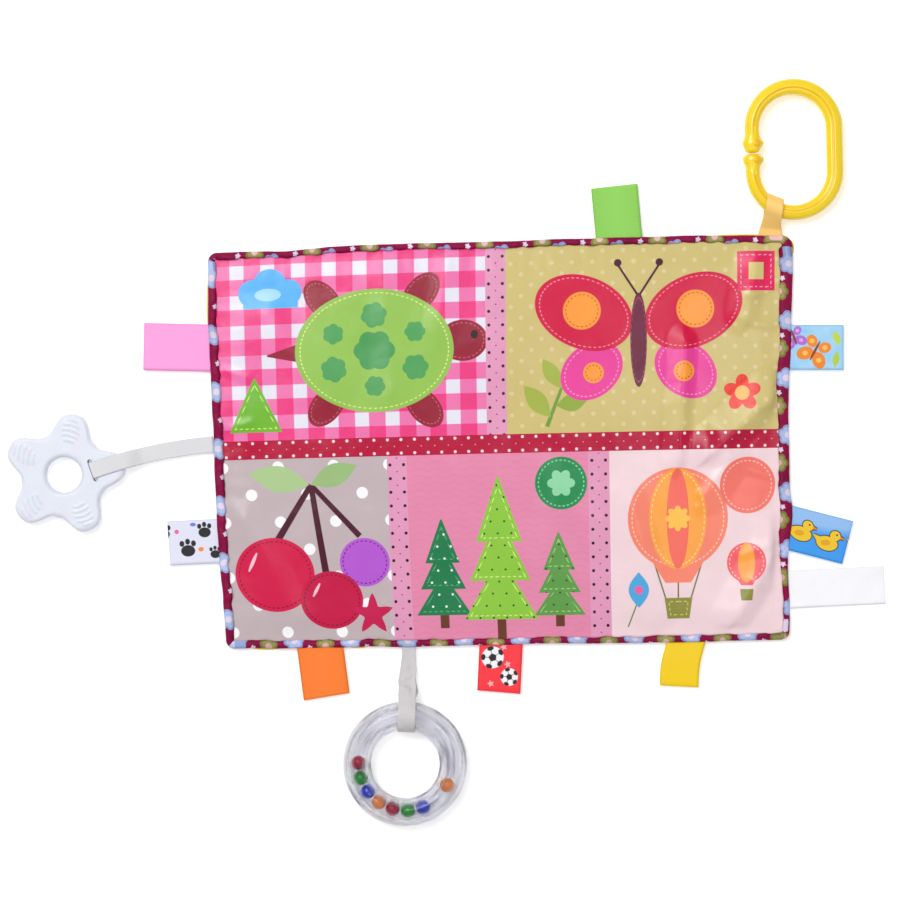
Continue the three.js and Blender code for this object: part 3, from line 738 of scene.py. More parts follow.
@dataclass
class Outline:
    """The blanket's outline as it lies."""

    width: float = 308.0
    height: float = 214.0
    top_left: Pair = (-159.3, 102.6)
    top_right: Pair = (155.0, 112.3)
    bottom_right: Pair = (153.4, -104.8)
    bottom_left: Pair = (-149.0, -109.6)
    seam_height: float = 2.25

    def length(self, edge: Edge) -> float:
        """The straight length of an edge."""
        return (self.seat(edge, 1).point - self.seat(edge, 0).point).length

    def seat(self, edge: Edge, share: float) -> Seat:
        """The place at a share of an edge, counted clockwise."""
        first, last, bow = edge.value
        start, end = Vector(getattr(self, first)), Vector(getattr(self, last))
        chord = end - start
        side = turned(chord, 90).normalized()
        point = start.lerp(end, share) + side * (4 * bow * share * (1 - share))
        along = (chord + side * (4 * bow * (1 - 2 * share))).normalized()
        return Seat(point, along, turned(along, 90))

    def point(self, u: float, v: float) -> Vector:
        """A point of the sheet, u from left to right and v from bottom to top."""
        low = Vector(self.bottom_left).lerp(Vector(self.bottom_right), u)
        high = Vector(self.top_left).lerp(Vector(self.top_right), u)
        bow_x = 4 * v * (1 - v) * (Edge.RIGHT.value[2] * u - Edge.LEFT.value[2] * (1 - u))
        bow_y = 4 * u * (1 - u) * (Edge.TOP.value[2] * v - Edge.BOTTOM.value[2] * (1 - v))
        return low.lerp(high, v) + Vector((bow_x, bow_y))

    def flat(self, u: float, v: float) -> Vector:
        """The same point of the cloth before it was laid, from the sheet's middle."""
        return Vector(((u - 0.5) * self.width, (v - 0.5) * self.height))


@dataclass
class Fold:
    """A fold in the laid front, with its reach to the left and right of its line."""

    start: Pair
    end: Pair
    height: float
    left: float
    right: float

    def rise(self, point: Vector) -> float:
        """How much the fold lifts the cloth at a point."""
        line = Vector(self.end) - Vector(self.start)
        away = point - Vector(self.start)
        share = min(max(away.dot(line) / line.length_squared, 0.0), 1.0)
        reach = self.left if line.cross(away) > 0 else self.right
        return self.height * max(0.0, 1 - (away - line * share).length / reach) ** 1.1


class Field(IntEnum):
    """The fields of the printed patchwork, each with a material of its own."""

    GINGHAM = 0
    YELLOW = 1
    DOTTED = 2
    WAVY = 3
    PALE = 4
    STRIP = 5
    BAND = 6


class PrintedFront:
    """The generic pictures of the front's patchwork, in millimetres from its middle."""

    leaf = "6f9a3c"

    def gingham(self, p: Printer) -> None:
        """Pink gingham with a turtle, a cloud and a stitched triangle."""
        w = p.wiring
        checks = w.group(
            gingham_group(), Position=p.position, Shift=(-155.6, 95.6, 0.0), Pitch=16.25
        )
        p.lay(w.math("MAXIMUM", checks["Across"], checks["Down"]), "ea74ad")
        p.lay(w.times(checks["Across"], checks["Down"]), "e93a80")
        p.bar((-124, 50), (-103, 51), (0.4, 6), "941a33")
        for centre, turn in (((-94, 79), 40), ((-42, 81), -40), ((-93, 22), -40), ((-41, 20), 40)):
            p.disc(centre, (12.5, 8), "941a33", turn + 90, thread="c9586a", inset=1.8)
        p.disc((-20, 55), (13, 11), "941a33", thread="c9586a", inset=1.8)
        p.disc((-14, 58), (1.9, 2.3), "2a0d18")
        p.disc((-67, 51), (42, 33), "93c053", thread="dff08a", inset=2.4)
        p.petals((-67, 51), 11, "4a9a55", count=6, depth=0.16)
        for k in range(6):
            angle = math.radians(60 * k + 30)
            centre = (-67 + 25 * math.cos(angle), 51 + 19 * math.sin(angle))
            p.petals(centre, 5.6 + 1.4 * (k % 2), "4f9f58", count=6, depth=0.16, turn=13 * k)
        for centre, radius in (((-131, 84), 7.5), ((-122, 88), 9), ((-112, 84), 7)):
            p.disc(centre, radius, "56b0f0")
        p.bar((-136, 79), (-107, 79), 3.4, "56b0f0")
        p.disc((-123, 83), (7, 3.4), "9ed4f8")
        p.bar((-131, 9), (-131, 38), (14, 0.5), "6fb42f", thread="d4ea84")

    def yellow(self, p: Printer) -> None:
        """Yellow with faint dots, a butterfly, leaves, a blossom and a stitched square."""
        p.dots((10.8, 5.75), 1.2, "d8c892")
        p.bar((24, 8), (35, 36), (1.1, 0.7), self.leaf)
        p.bar((26, 13), (12, 30), 5, "a2b046", leaf=1)
        p.bar((29, 19), (46, 22), 4.6, "8fa83e", leaf=1)
        p.bar((32, 28), (22, 44), 4.2, "a2b046", leaf=1)
        wings = (
            ((48, 37), (18, 14), 38, "e63f98", "f598c8", (49, 36), 5.5),
            ((98, 37), (18, 14), -38, "e63f98", "f598c8", (97, 36), 5.5),
            ((44, 68), (27, 19), -24, "cf0a40", "f78aa6", (43, 69), 10),
            ((102, 68), (27, 19), 24, "cf0a40", "f78aa6", (103, 69), 10),
        )
        for centre, radii, turn, ink, thread, spot, radius in wings:
            p.disc(centre, radii, ink, turn, thread, 2.2)
            p.disc(spot, radius, "f99a3a", thread="c45a1e", inset=1.5)
        p.bar((73, 76), (62, 93), 0.6, "4a0f2c")
        p.bar((73, 76), (84, 93), 0.6, "4a0f2c")
        p.disc((62, 94), 2, "4a0f2c")
        p.disc((84, 94), 2, "4a0f2c")
        p.disc((73, 53), (4.4, 25), "6a1638", thread="b0587c", inset=1.6)
        p.petals((128, 24), 10, "e8352c", depth=0.42, turn=18)
        p.disc((128, 24), 3.8, "f9b25a")
        p.bar((135, 99), (135, 78), 10, "e0225a", thread="f7a0b8")
        p.bar((135, 93), (135, 84), 4, "d5c47e")

    def dotted(self, p: Printer) -> None:
        """Grey-beige with polka dots, two cherries, a plum, leaves and a star."""
        p.dots((29.7, 14.85), 3.1, "f6f4f6", shift=(-149.9, -32.2))
        stems = (((-124, -52), (1.5, 1.9)), ((-97, -70), (1.5, 1.9)), ((-78, -48), (1.3, 1.6)))
        for end, halves in stems:
            p.bar((-103, -20), end, halves, "4a1028")
        p.bar((-104, -20), (-136, -13), 7, "a9c78c", leaf=1)
        p.bar((-103, -20), (-78, -10), 6, "98ba7a", leaf=1)
        p.disc((-76, -62), (13.5, 13), "b457cf", thread="5e2480", inset=1.7)
        p.disc((-125, -68), (21.5, 20), "d11549", thread="6a0c2c", inset=2.2)
        p.disc((-95, -82), (17, 15.5), "c40f45", thread="6a0c2c", inset=2.0)
        p.bar((-139, -66), (-134, -56), 0.9, "f7c3d2", leaf=0.6)
        p.bar((-105, -80), (-101, -73), 0.8, "f7c3d2", leaf=0.6)
        p.petals((-73, -90), 11.5, "c5184f", depth=0.55, pointed=1, turn=90)

    def wavy(self, p: Printer) -> None:
        """Pink with waves, three fir trees and a stitched disc with a blossom."""
        p.lay(p.wiring.group(wave_group(), Position=p.position)["Mask"], "de82a6")
        self._tree(p, (-34, -98), 58, 15, "1d7a4b", "f2fbf2", "5aa87c")
        self._tree(p, (29, -98), 50, 14, "5d9a48", "2c5a2a", "a5cc7c")
        self._tree(p, (-3, -104), 86, 20, "8cc63f", "2f5f26", "d7ee84")
        p.disc((31, -22), 14, "1e8a4f", thread="8fd6a4", inset=1.8)
        p.petals((31, -22), 7.5, "8fd6a4", count=6, depth=0.3)

    def _tree(
        self, p: Printer, foot: Pair, height: float, half: float, ink: str, speck: str, thread: str
    ) -> None:
        x, y = foot
        p.bar((x, y), (x, y + 0.2 * height), 2.4, "6a3a26")
        for low, high, share in ((0.12, 0.5, 1.0), (0.36, 0.76, 0.82), (0.6, 1.0, 0.62)):
            halves = (half * share, 0.4)
            mask = p.bar((x, y + low * height), (x, y + high * height), halves, ink, thread=thread)
            p.dots((7.3, 6.4), 0.6, speck, only_in=mask)

    def pale(self, p: Printer) -> None:
        """Pale pink with a balloon, a small one, a kite and a stitched disc."""
        for x in (86.5, 93.5, 100.5):
            p.bar((x, -84), ((x - 93.5) * 2 + 93.5, -62), 0.4, "6b6a2c")
        p.bar((93.5, -95), (93.5, -84), (6, 7.6), "8d8c3a", thread="c9c880")
        p.bar((93.5, -76), (93.5, -54), (7, 21), "f5846c")
        p.disc((93.5, -42), 27, "f5846c", thread="fbd0b4", inset=2.2)
        p.disc((93.5, -42), (15.5, 26.8), "f9a244", thread="fbd9a0", inset=1.6)
        p.disc((93.5, -42), (6, 26.6), "f26a5a")
        p.petals((93.5, -42), 6.8, "f9c04c", count=8, depth=0.3)
        p.bar((130.5, -86), (130.5, -80), (3, 3.6), "8d8c3a")
        p.bar((130.5, -78), (130.5, -70), (3, 8), "f2606a")
        p.disc((130.5, -66), 10.5, "f2606a", thread="fbc0b0", inset=1.4)
        p.disc((130.5, -66), (4.5, 10.4), "f9a244")
        p.bar((66, -99), (72, -84), 0.35, "5d7a3a")
        p.bar((72, -89), (72, -70), 5.5, "4fa6dc", leaf=1)
        p.disc((72, -79.5), 2.2, "ee5fa0")
        p.disc((131, -25), 15, "f4766a", thread="fbc9ba", inset=2.0)

    def strip(self, p: Printer) -> None:
        """Pink with black dots in two columns and small ones between."""
        w = p.wiring
        x = w.parts(p.position)[0]
        first, middle, last = -56.65, -2.6, 51.3
        centre = w.ramp(w.math("GREATER_THAN", x, -30.0), middle - first, first)
        centre = w.ramp(w.math("GREATER_THAN", x, 25.0), last - middle, centre)
        whole = p.position
        p.position = w.vector("SUBTRACT", whole, w.joined(centre))
        p.dots((7.3, 7.3), 0.85, "2a0f1c", shift=(0, 0.6), stagger=0)
        p.dots((7.3, 7.3), 0.36, "5a2236", shift=(-3.65, -3.05), stagger=0)
        p.position = whole

    def band(self, p: Printer) -> None:
        """Crimson with two rows of white dots and small ones between."""
        p.dots((7.2, 7.2), 0.78, "fcdde6", shift=(0, -7.73), stagger=0)
        p.dots((7.2, 7.2), 0.3, "f4a3b8", shift=(3.6, -4.13), stagger=0)


@dataclass
class BlanketSheets:
    """The front, the padding, the crinkling film and the back."""

    outline: Outline
    panel: float = 0.5
    inset: float = 2.4
    hem: float = 3.8
    wide_hem: float = 6.4
    slope: float = 13.0
    front_rim: float = 3.45
    front_inside: float = 4.1
    crown: float = 2.0
    pucker: float = 8.6
    pucker_depth: float = 0.22
    pucker_reach: float = 6.0
    back_rim: float = 0.95
    film_height: float = 1.35
    print_lines: tuple[float, ...] = (0.299, 0.333, 0.474, 0.509, 0.648, 0.685)
    band_lines: Pair = (0.474, 0.521)
    folds: tuple[Fold, ...] = (
        Fold((147, 28), (113, -4), 3.9, 9, 17),
        Fold((98, 56), (94.5, -8), 2.5, 6, 11),
        Fold((122, -7), (108, -27), 2.4, 12, 6),
        Fold((150, -50), (126, -92), 3.6, 9, 16),
        Fold((109, 3), (107, -16), 1.4, 7, 9),
        Fold((137, 108), (131, 70), 2.2, 7, 13),
        Fold((66, -26), (84, -90), 1.6, 11, 14),
        Fold((-128, 70), (-96, 26), 1.2, 12, 16),
        Fold((-66, 92), (-60, 30), 0.6, 14, 11),
        Fold((-140, -40), (-112, -92), 1.3, 11, 14),
        Fold((-30, 98), (-36, 62), 0.6, 12, 9),
        Fold((20, -14), (8, -60), 0.6, 11, 13),
        Fold((152, 88), (134, 80), 0.8, 3, 5),
        Fold((152, 62), (130, 66), 0.7, 3, 5),
        Fold((152, 24), (136, 20), 0.7, 3, 5),
        Fold((152, -20), (132, -14), 0.8, 3, 5),
        Fold((150, -52), (128, -60), 0.8, 3, 6),
        Fold((150, -80), (134, -74), 0.7, 3, 5),
        Fold((40, -98), (36, -88), 0.5, 3, 3),
        Fold((-60, -98), (-64, -86), 0.5, 3, 3),
        Fold((-150, 40), (-138, 36), 0.6, 3, 4),
        Fold((-149, 8), (-136, 12), 0.6, 3, 4),
    )

    def _lift(self, depth: float) -> float:
        """How far the sheets have risen from the tape, at a depth in from the edge."""
        return smooth((depth - self.hem) / self.slope)

    def _depth(self, u: float, v: float) -> float:
        return min(min(u, 1 - u) * self.outline.width, min(v, 1 - v) * self.outline.height)

    def _front_top(self, u: float, v: float) -> Vector:
        point = self.outline.point(u, v)
        left, right = u * self.outline.width, (1 - u) * self.outline.width
        low, high = v * self.outline.height, (1 - v) * self.outline.height
        depth = min(left, right - self.wide_hem + self.hem, low, high)
        crown = self.crown * math.sin(math.pi * u) * math.sin(math.pi * v)
        folds = sum(fold.rise(point) for fold in self.folds)
        soft = 0.55 * ripple(point.x, point.y, 34, 2.1) + 0.14 * ripple(point.x, point.y, 12, 7.7)
        along = point.x if min(low, high) < min(left, right) else point.y
        pucker = math.sin(FULL_TURN * (along + 3 * ripple(along, 0, 19, 4.2)) / self.pucker)
        fading = math.exp(-max(depth - self.hem, 0) / self.pucker_reach)
        gathered = self.pucker_depth * pucker * fading
        inside = self.front_inside + crown + soft + gathered
        height = mix(self.front_rim, inside, self._lift(depth))
        height += folds * smooth((depth - self.hem) / 5)
        return raised(point, height)

    def _lines(self, marks: Sequence[float], span: float, step: float) -> list[float]:
        edge = self.inset / span
        stops = sorted({edge, 1 - edge, *marks})
        lines = [edge]
        for first, last in zip(stops, stops[1:]):
            count = max(1, round((last - first) * span / step))
            lines += even(count, first, last)[1:]
        return lines

    def _field(self, u: float, v: float) -> int:
        low, high = self.band_lines
        strips = self.print_lines
        if low < v < high:
            return Field.BAND
        if v > high:
            if strips[2] < u < strips[3]:
                return Field.STRIP
            return Field.GINGHAM if u < strips[2] else Field.YELLOW
        if strips[0] < u < strips[1] or strips[4] < u < strips[5]:
            return Field.STRIP
        return Field.DOTTED if u < strips[0] else Field.WAVY if u < strips[4] else Field.PALE

    def front(self) -> Piece:
        """The printed front, one sheet of satin."""
        step = 1.45
        us = self._lines(self.print_lines, self.outline.width, step)
        vs = self._lines(self.band_lines, self.outline.height, step)
        build = shaped_grid(us, vs, self._front_top, self.outline.flat, self._field)
        art = PrintedFront()
        fields = (
            ("gingham", "e3e0ed", art.gingham),
            ("yellow", "cdbb77", art.yellow),
            ("dotted", "bfafb3", art.dotted),
            ("wavy", "e288aa", art.wavy),
            ("pale", "efd3d8", art.pale),
            ("strip", "e097ba", art.strip),
            ("band", "b40036", art.band),
        )
        finishes = [
            ClothFinish(
                f"printed satin {label}", colour, Weave.SATIN, 0.25, sheen=0.0, relief=0.006,
                crease=0.22, specular=0.3, artwork=artwork,
            )
            for label, colour, artwork in fields
        ]
        return piece_from(build, "front_cloth", *finishes, thickness=self.panel, offset=-1)

    def _plain(
        self, name: str, step: float, place: Place, finish: Finish, thickness: float, offset: float
    ) -> Piece:
        """A sheet with no print, in steps of a length."""
        us = self._lines((), self.outline.width, step)
        vs = self._lines((), self.outline.height, step)
        build = shaped_grid(us, vs, place, self.outline.flat)
        return piece_from(build, name, finish, thickness=thickness, offset=offset)

    def back(self) -> Piece:
        """The plain yellow back."""

        def place(u: float, v: float) -> Vector:
            point = self.outline.point(u, v)
            raised_rim = 1 - self._lift(self._depth(u, v))
            soft = 0.12 + 0.12 * ripple(point.x, point.y, 26, 5.5)
            flat = max(soft, 0.02) * (1 - raised_rim)
            return raised(point, self.back_rim * raised_rim + flat + 0.03)

        finish = ClothFinish("plain yellow satin", "ffdf4e", Weave.SATIN, roughness=0.42)
        return self._plain("back_cloth", 3.0, place, finish, self.panel - 0.1, 1)

    def padding(self) -> Piece:
        """The thin wadding under the front."""

        def place(u: float, v: float) -> Vector:
            top = self._front_top(u, v)
            top.z -= self.panel + 0.28
            return top

        finish = ClothFinish(
            "white wadding", "f6f6f2", Weave.PLAIN, roughness=0.85, relief=0.2, specular=0.1
        )
        return self._plain("wadding", 4.0, place, finish, 0.9, -1)

    def film(self) -> Piece:
        """The crumpled film that rustles."""

        def place(u: float, v: float) -> Vector:
            point = self.outline.point(u, v)
            crumple = 0.5 * abs(ripple(point.x, point.y, 9, 1.3))
            crumple += 0.2 * ripple(point.x, point.y, 4, 8.8)
            return raised(point, self.film_height + crumple * self._lift(self._depth(u, v)))

        finish = MouldedFinish("crinkling film", "dfe6ea", roughness=0.25, alpha=0.75, bump=0.4)
        return self._plain("crinkling_film", 2.2, place, finish, 0.06, 0)


@dataclass(frozen=True)
class TapeEdge:
    """How the tape lies along one edge, by share of it, and where its printed blossoms fall.

    The blossoms' places are along the edge and in from the seam, repeated at the pitch.
    """

    depths: tuple[Pair, ...]
    sways: tuple[tuple[float, float, float], ...]
    corner: float
    row: int
    pitch: float
    blue: Pair
    bud: Pair
    olive: Optional[Pair] = None

    def depth(self, share: float) -> float:
        """The tape's depth, from its outer line to its seam."""
        for (first, start), (last, end) in zip(self.depths, self.depths[1:]):
            if share <= last:
                return mix(start, end, smooth((share - first) / (last - first)))
        return self.depths[-1][1]

    def sway(self, share: float) -> float:
        """How far the outer line lies out of the true edge."""
        return sum(out * bell(share - at, reach) for at, out, reach in self.sways)


@dataclass
class Station:
    """One section of the tape: where it is, which way is in, and what it belongs to."""

    corner: Vector
    inward: Vector
    out: Vector
    radius: float
    edge: TapeEdge
    along: float
    depth: float
    sway: float

    def point(self, depth: float) -> Vector:
        """The plan point at a depth in from the outer line."""
        inset = depth - self.sway
        radius = max(self.radius - inset, 0.6) if self.radius else 0.0
        return self.corner + self.inward * (inset + radius) + self.out * radius


@dataclass
class Binding:
    """The printed tape round the edge, drawn up by its seam, and the back's roll beyond it."""

    outline: Outline
    half: float = 2.15
    tape: float = 0.45
    step: float = 1.25
    row_pitch: float = 30.0
    row_lead: float = 8.0
    past_corner: float = 4.5
    noise_radius: float = 160.0
    boxiness: float = 0.6
    lowest: float = 0.24
    highest: float = 4.7
    roll_core: float = 0.15
    roll: float = 0.75
    roll_height: float = 0.95
    roll_round: float = 5.6
    edges: tuple[TapeEdge, ...] = (
        TapeEdge(
            ((0, 3.2), (0.1, 2.8), (0.3, 2.8), (0.6, 3.1), (1, 3.6)),
            ((0.13, -0.9, 0.05), (0.27, 0.4, 0.06), (0.52, -0.3, 0.08), (0.8, 0.3, 0.05)),
            6.2, 0, 31.0, (3.4, -3.6), (15.7, 1.3), (24.8, 3.0),
        ),
        TapeEdge(
            (
                (0, 6.9), (0.13, 6.6), (0.25, 5.9), (0.36, 6.3), (0.47, 5.3), (0.6, 5.4),
                (0.68, 6.3), (0.73, 6.1), (0.78, 4.0), (0.85, 2.9), (1, 3.1),
            ),
            ((0.44, -1.5, 0.16), (0.69, 1.2, 0.045), (0.82, -1.0, 0.07), (0.06, 0.4, 0.05)),
            4.2, 1, 30.8, (15.1, 5.0), (23.0, 1.2), (30.0, -0.3),
        ),
        TapeEdge(
            ((0, 3.4), (0.3, 3.0), (0.55, 2.9), (0.75, 3.4), (0.9, 3.9), (1, 4.1)),
            ((0.2, 0.4, 0.07), (0.44, -0.4, 0.06), (0.66, 0.35, 0.05), (0.9, 0.4, 0.06)),
            4.6, 2, 30.55, (22.1, 0.0), (13.7, 4.0), (5.3, 3.5),
        ),
        TapeEdge(
            ((0, 4.3), (0.4, 4.5), (0.8, 4.2), (1, 3.6)),
            ((0.25, 0.3, 0.06), (0.55, -0.4, 0.09), (0.84, 0.35, 0.07)),
            5.0, 3, 30.7, (15.0, 2.3), (30.3, 0.6),
        ),
    )

    def stations(self) -> list[Station]:
        """The tape's sections, clockwise from the top left."""
        sides = list(Edge)
        found = []
        for k, (side, look) in enumerate(zip(sides, self.edges)):
            following, next_look = sides[(k + 1) % 4], self.edges[(k + 1) % 4]
            previous = self.edges[k - 1]
            length = self.outline.length(side)
            first = (previous.corner + self.past_corner) / length
            last = 1 - (look.corner + self.past_corner) / length
            for share in even(round(length * (last - first) / self.step), first, last):
                seat = self.outline.seat(side, share)
                laid = share * length, look.depth(share), look.sway(share)
                found.append(Station(seat.point, -seat.out, seat.out, 0.0, look, *laid))
            end, start = self.outline.seat(side, 1), self.outline.seat(following, 0)
            inward = -(end.out + start.out) / (1 + end.out.dot(start.out))
            for turn in even(12):
                mine = turn < 0.5
                run = look.corner * math.pi / 2 * (turn if mine else turn - 1)
                found.append(
                    Station(
                        end.point, inward, end.out.lerp(start.out, turn).normalized(),
                        look.corner, look if mine else next_look,
                        run + (last * length if mine else look.corner + self.past_corner),
                        mix(look.depth(1), next_look.depth(0), turn),
                        mix(look.sway(last), next_look.sway(0.03), turn),
                    )
                )
        return [*found, found[0]]

    def _section(self, station: Station, place: float) -> list[Vector]:
        """One section of the tape, from its seam on top round the edge to its seam below."""
        ((round_x, round_y),) = arc((0.0, 0.0), self.noise_radius, [FULL_TURN * place])
        gather = ripple(round_x, round_y, 4.6, 3.3)
        slow = ripple(round_x, round_y, 15, 6.1)
        section = []
        for turn in even(20):
            angle = math.pi * turn
            seam = station.depth + 0.75 * gather + 0.35 * slow
            flat = math.sin(angle) ** self.boxiness
            depth = seam * (1 - flat) + 0.42 * slow + 0.16 * gather
            side = math.copysign(abs(math.cos(angle)) ** self.boxiness, math.cos(angle))
            height = self.half * (1 + side) + 0.05
            if side > 0:
                height -= 0.6 * bell(depth - seam, 0.9)
                height += 0.95 * gather * bell(depth - seam, 3.0) + 0.4 * slow
            point = station.point(depth)
            section.append(raised(point, min(max(height, self.lowest), self.highest)))
        return section

    def band(self) -> Piece:
        """The tape: a rounded fold over the edge, puckered, tucked down into its seam."""
        found = self.stations()
        last = len(found) - 1
        sections = [self._section(s, (i % last) / last) for i, s in enumerate(found)]
        lengths = [distances(section) for section in sections]
        turns = len(sections[0]) - 1

        def place(u: float, v: float) -> Vector:
            return nth(nth(sections, u), v)

        def cloth(u: float, v: float) -> Vector:
            i = round(u * last)
            down = found[i].edge.row * self.row_pitch + self.row_lead
            return Vector((found[i].along, down + lengths[i][round(v * turns)]))

        build = shaped_grid(even(last), even(turns), place, cloth)
        self._mitre_print(build)
        bmesh.ops.remove_doubles(build, verts=build.verts, dist=1e-6)
        bmesh.ops.reverse_faces(build, faces=build.faces)
        rows = [distances([section[k] for section in sections])[-1] for k in range(turns + 1)]
        across = sum(length[-1] for length in lengths) / len(lengths)
        self.cut = (across * MM, sum(rows) / len(rows) * MM)
        # The strong mottle paints the crumpled tape's light and shade as patches, and painted shade between
        # its threads.
        finish = ClothFinish(
            "printed tape", "86093f", Weave.PLAIN, 0.5, sheen=0.0, relief=0.012, crease=1.8,
            mottle_and_shade=0.7, specular=0.12, artwork=self.blossoms,
        )
        return piece_from(build, "edge_tape", finish, thickness=self.tape, offset=-1)

    def _mitre_print(self, build: Mesh) -> None:
        """Keeps each face's print in one row where two edges meet."""
        layer = build.loops.layers.uv.active
        pitch = self.row_pitch * MM
        for face in build.faces:
            rows = [math.floor(loop[layer].uv.y / pitch) for loop in face.loops]
            if min(rows) == max(rows):
                continue
            kept = rows[0]
            along = next(loop[layer].uv.x for loop, row in zip(face.loops, rows) if row == kept)
            for loop, row in zip(face.loops, rows):
                if row != kept:
                    loop[layer].uv = (along + MM, loop[layer].uv.y + (kept - row) * pitch)

    def blossoms(self, p: Printer) -> None:
        """Blue and olive blossoms and small pale buds along the tape, in a row for each edge."""
        w = p.wiring
        whole = p.position
        x, y, _ = w.parts(whole)
        for look in self.edges:
            down = w.minus(y, look.row * self.row_pitch + self.row_lead)

            def repeated(along: float) -> Socket:
                turn = w.ramp(x, 1 / look.pitch, 0.5 - along / look.pitch)
                centred = w.minus(w.math("FRACT", turn), 0.5)
                return w.joined(w.times(centred, look.pitch), down)

            blossoms = (
                (look.blue, (5.7, 4.6), ("8ea0cf", "afbce2", "ded2e6"), 12),
                (look.olive, (5.2, 4.0), ("7d7a3e", "9a9358", "dcb4b4"), 30),
            )
            for spot, radii, inks, turn in blossoms:
                if spot:
                    p.position = repeated(spot[0])
                    p.petals((0, spot[1]), radii[0], inks[0], count=6, depth=0.2, turn=turn)
                    p.petals((0, spot[1]), radii[1], inks[1], count=6, depth=0.26, turn=turn)
                    p.disc((0, spot[1]), 1.8, inks[2])
            p.position = repeated(look.bud[0])
            p.petals((0, look.bud[1]), 1.5, "dcd0e8", depth=0.45)
        p.position = whole

    def back_roll(self, name: str, edge: Edge, first: float, last: float) -> Piece:
        """The back's cloth rolling out under the tape along part of an edge."""
        length = self.outline.length(edge)
        count = max(8, round((last - first) * length / 1.5))
        look = self.edges[list(Edge).index(edge)]

        def place(u: float, v: float) -> Vector:
            share = mix(first, last, u)
            seat = self.outline.seat(edge, share)
            swell = math.sin(math.pi * u) ** 0.5
            wave = 0.12 * ripple(u * 60, 0, 5, 2.0)
            radius = self.roll_core + (self.roll + wave) * swell
            angle = FULL_TURN * v
            beyond = self.roll * swell - 0.4 + look.sway(share)
            point = seat.point + seat.out * (radius * math.cos(angle) + beyond)
            return raised(point, self.roll_height + 0.8 * radius * math.sin(angle))

        def cloth(u: float, v: float) -> Vector:
            return Vector((u * (last - first) * length, self.roll_round * v))

        finish = ClothFinish("rolled yellow satin", "ffd23c", Weave.SATIN, crease=0.2)
        return piece_from(close(shaped_grid(even(count), even(12), place, cloth)), name, finish)


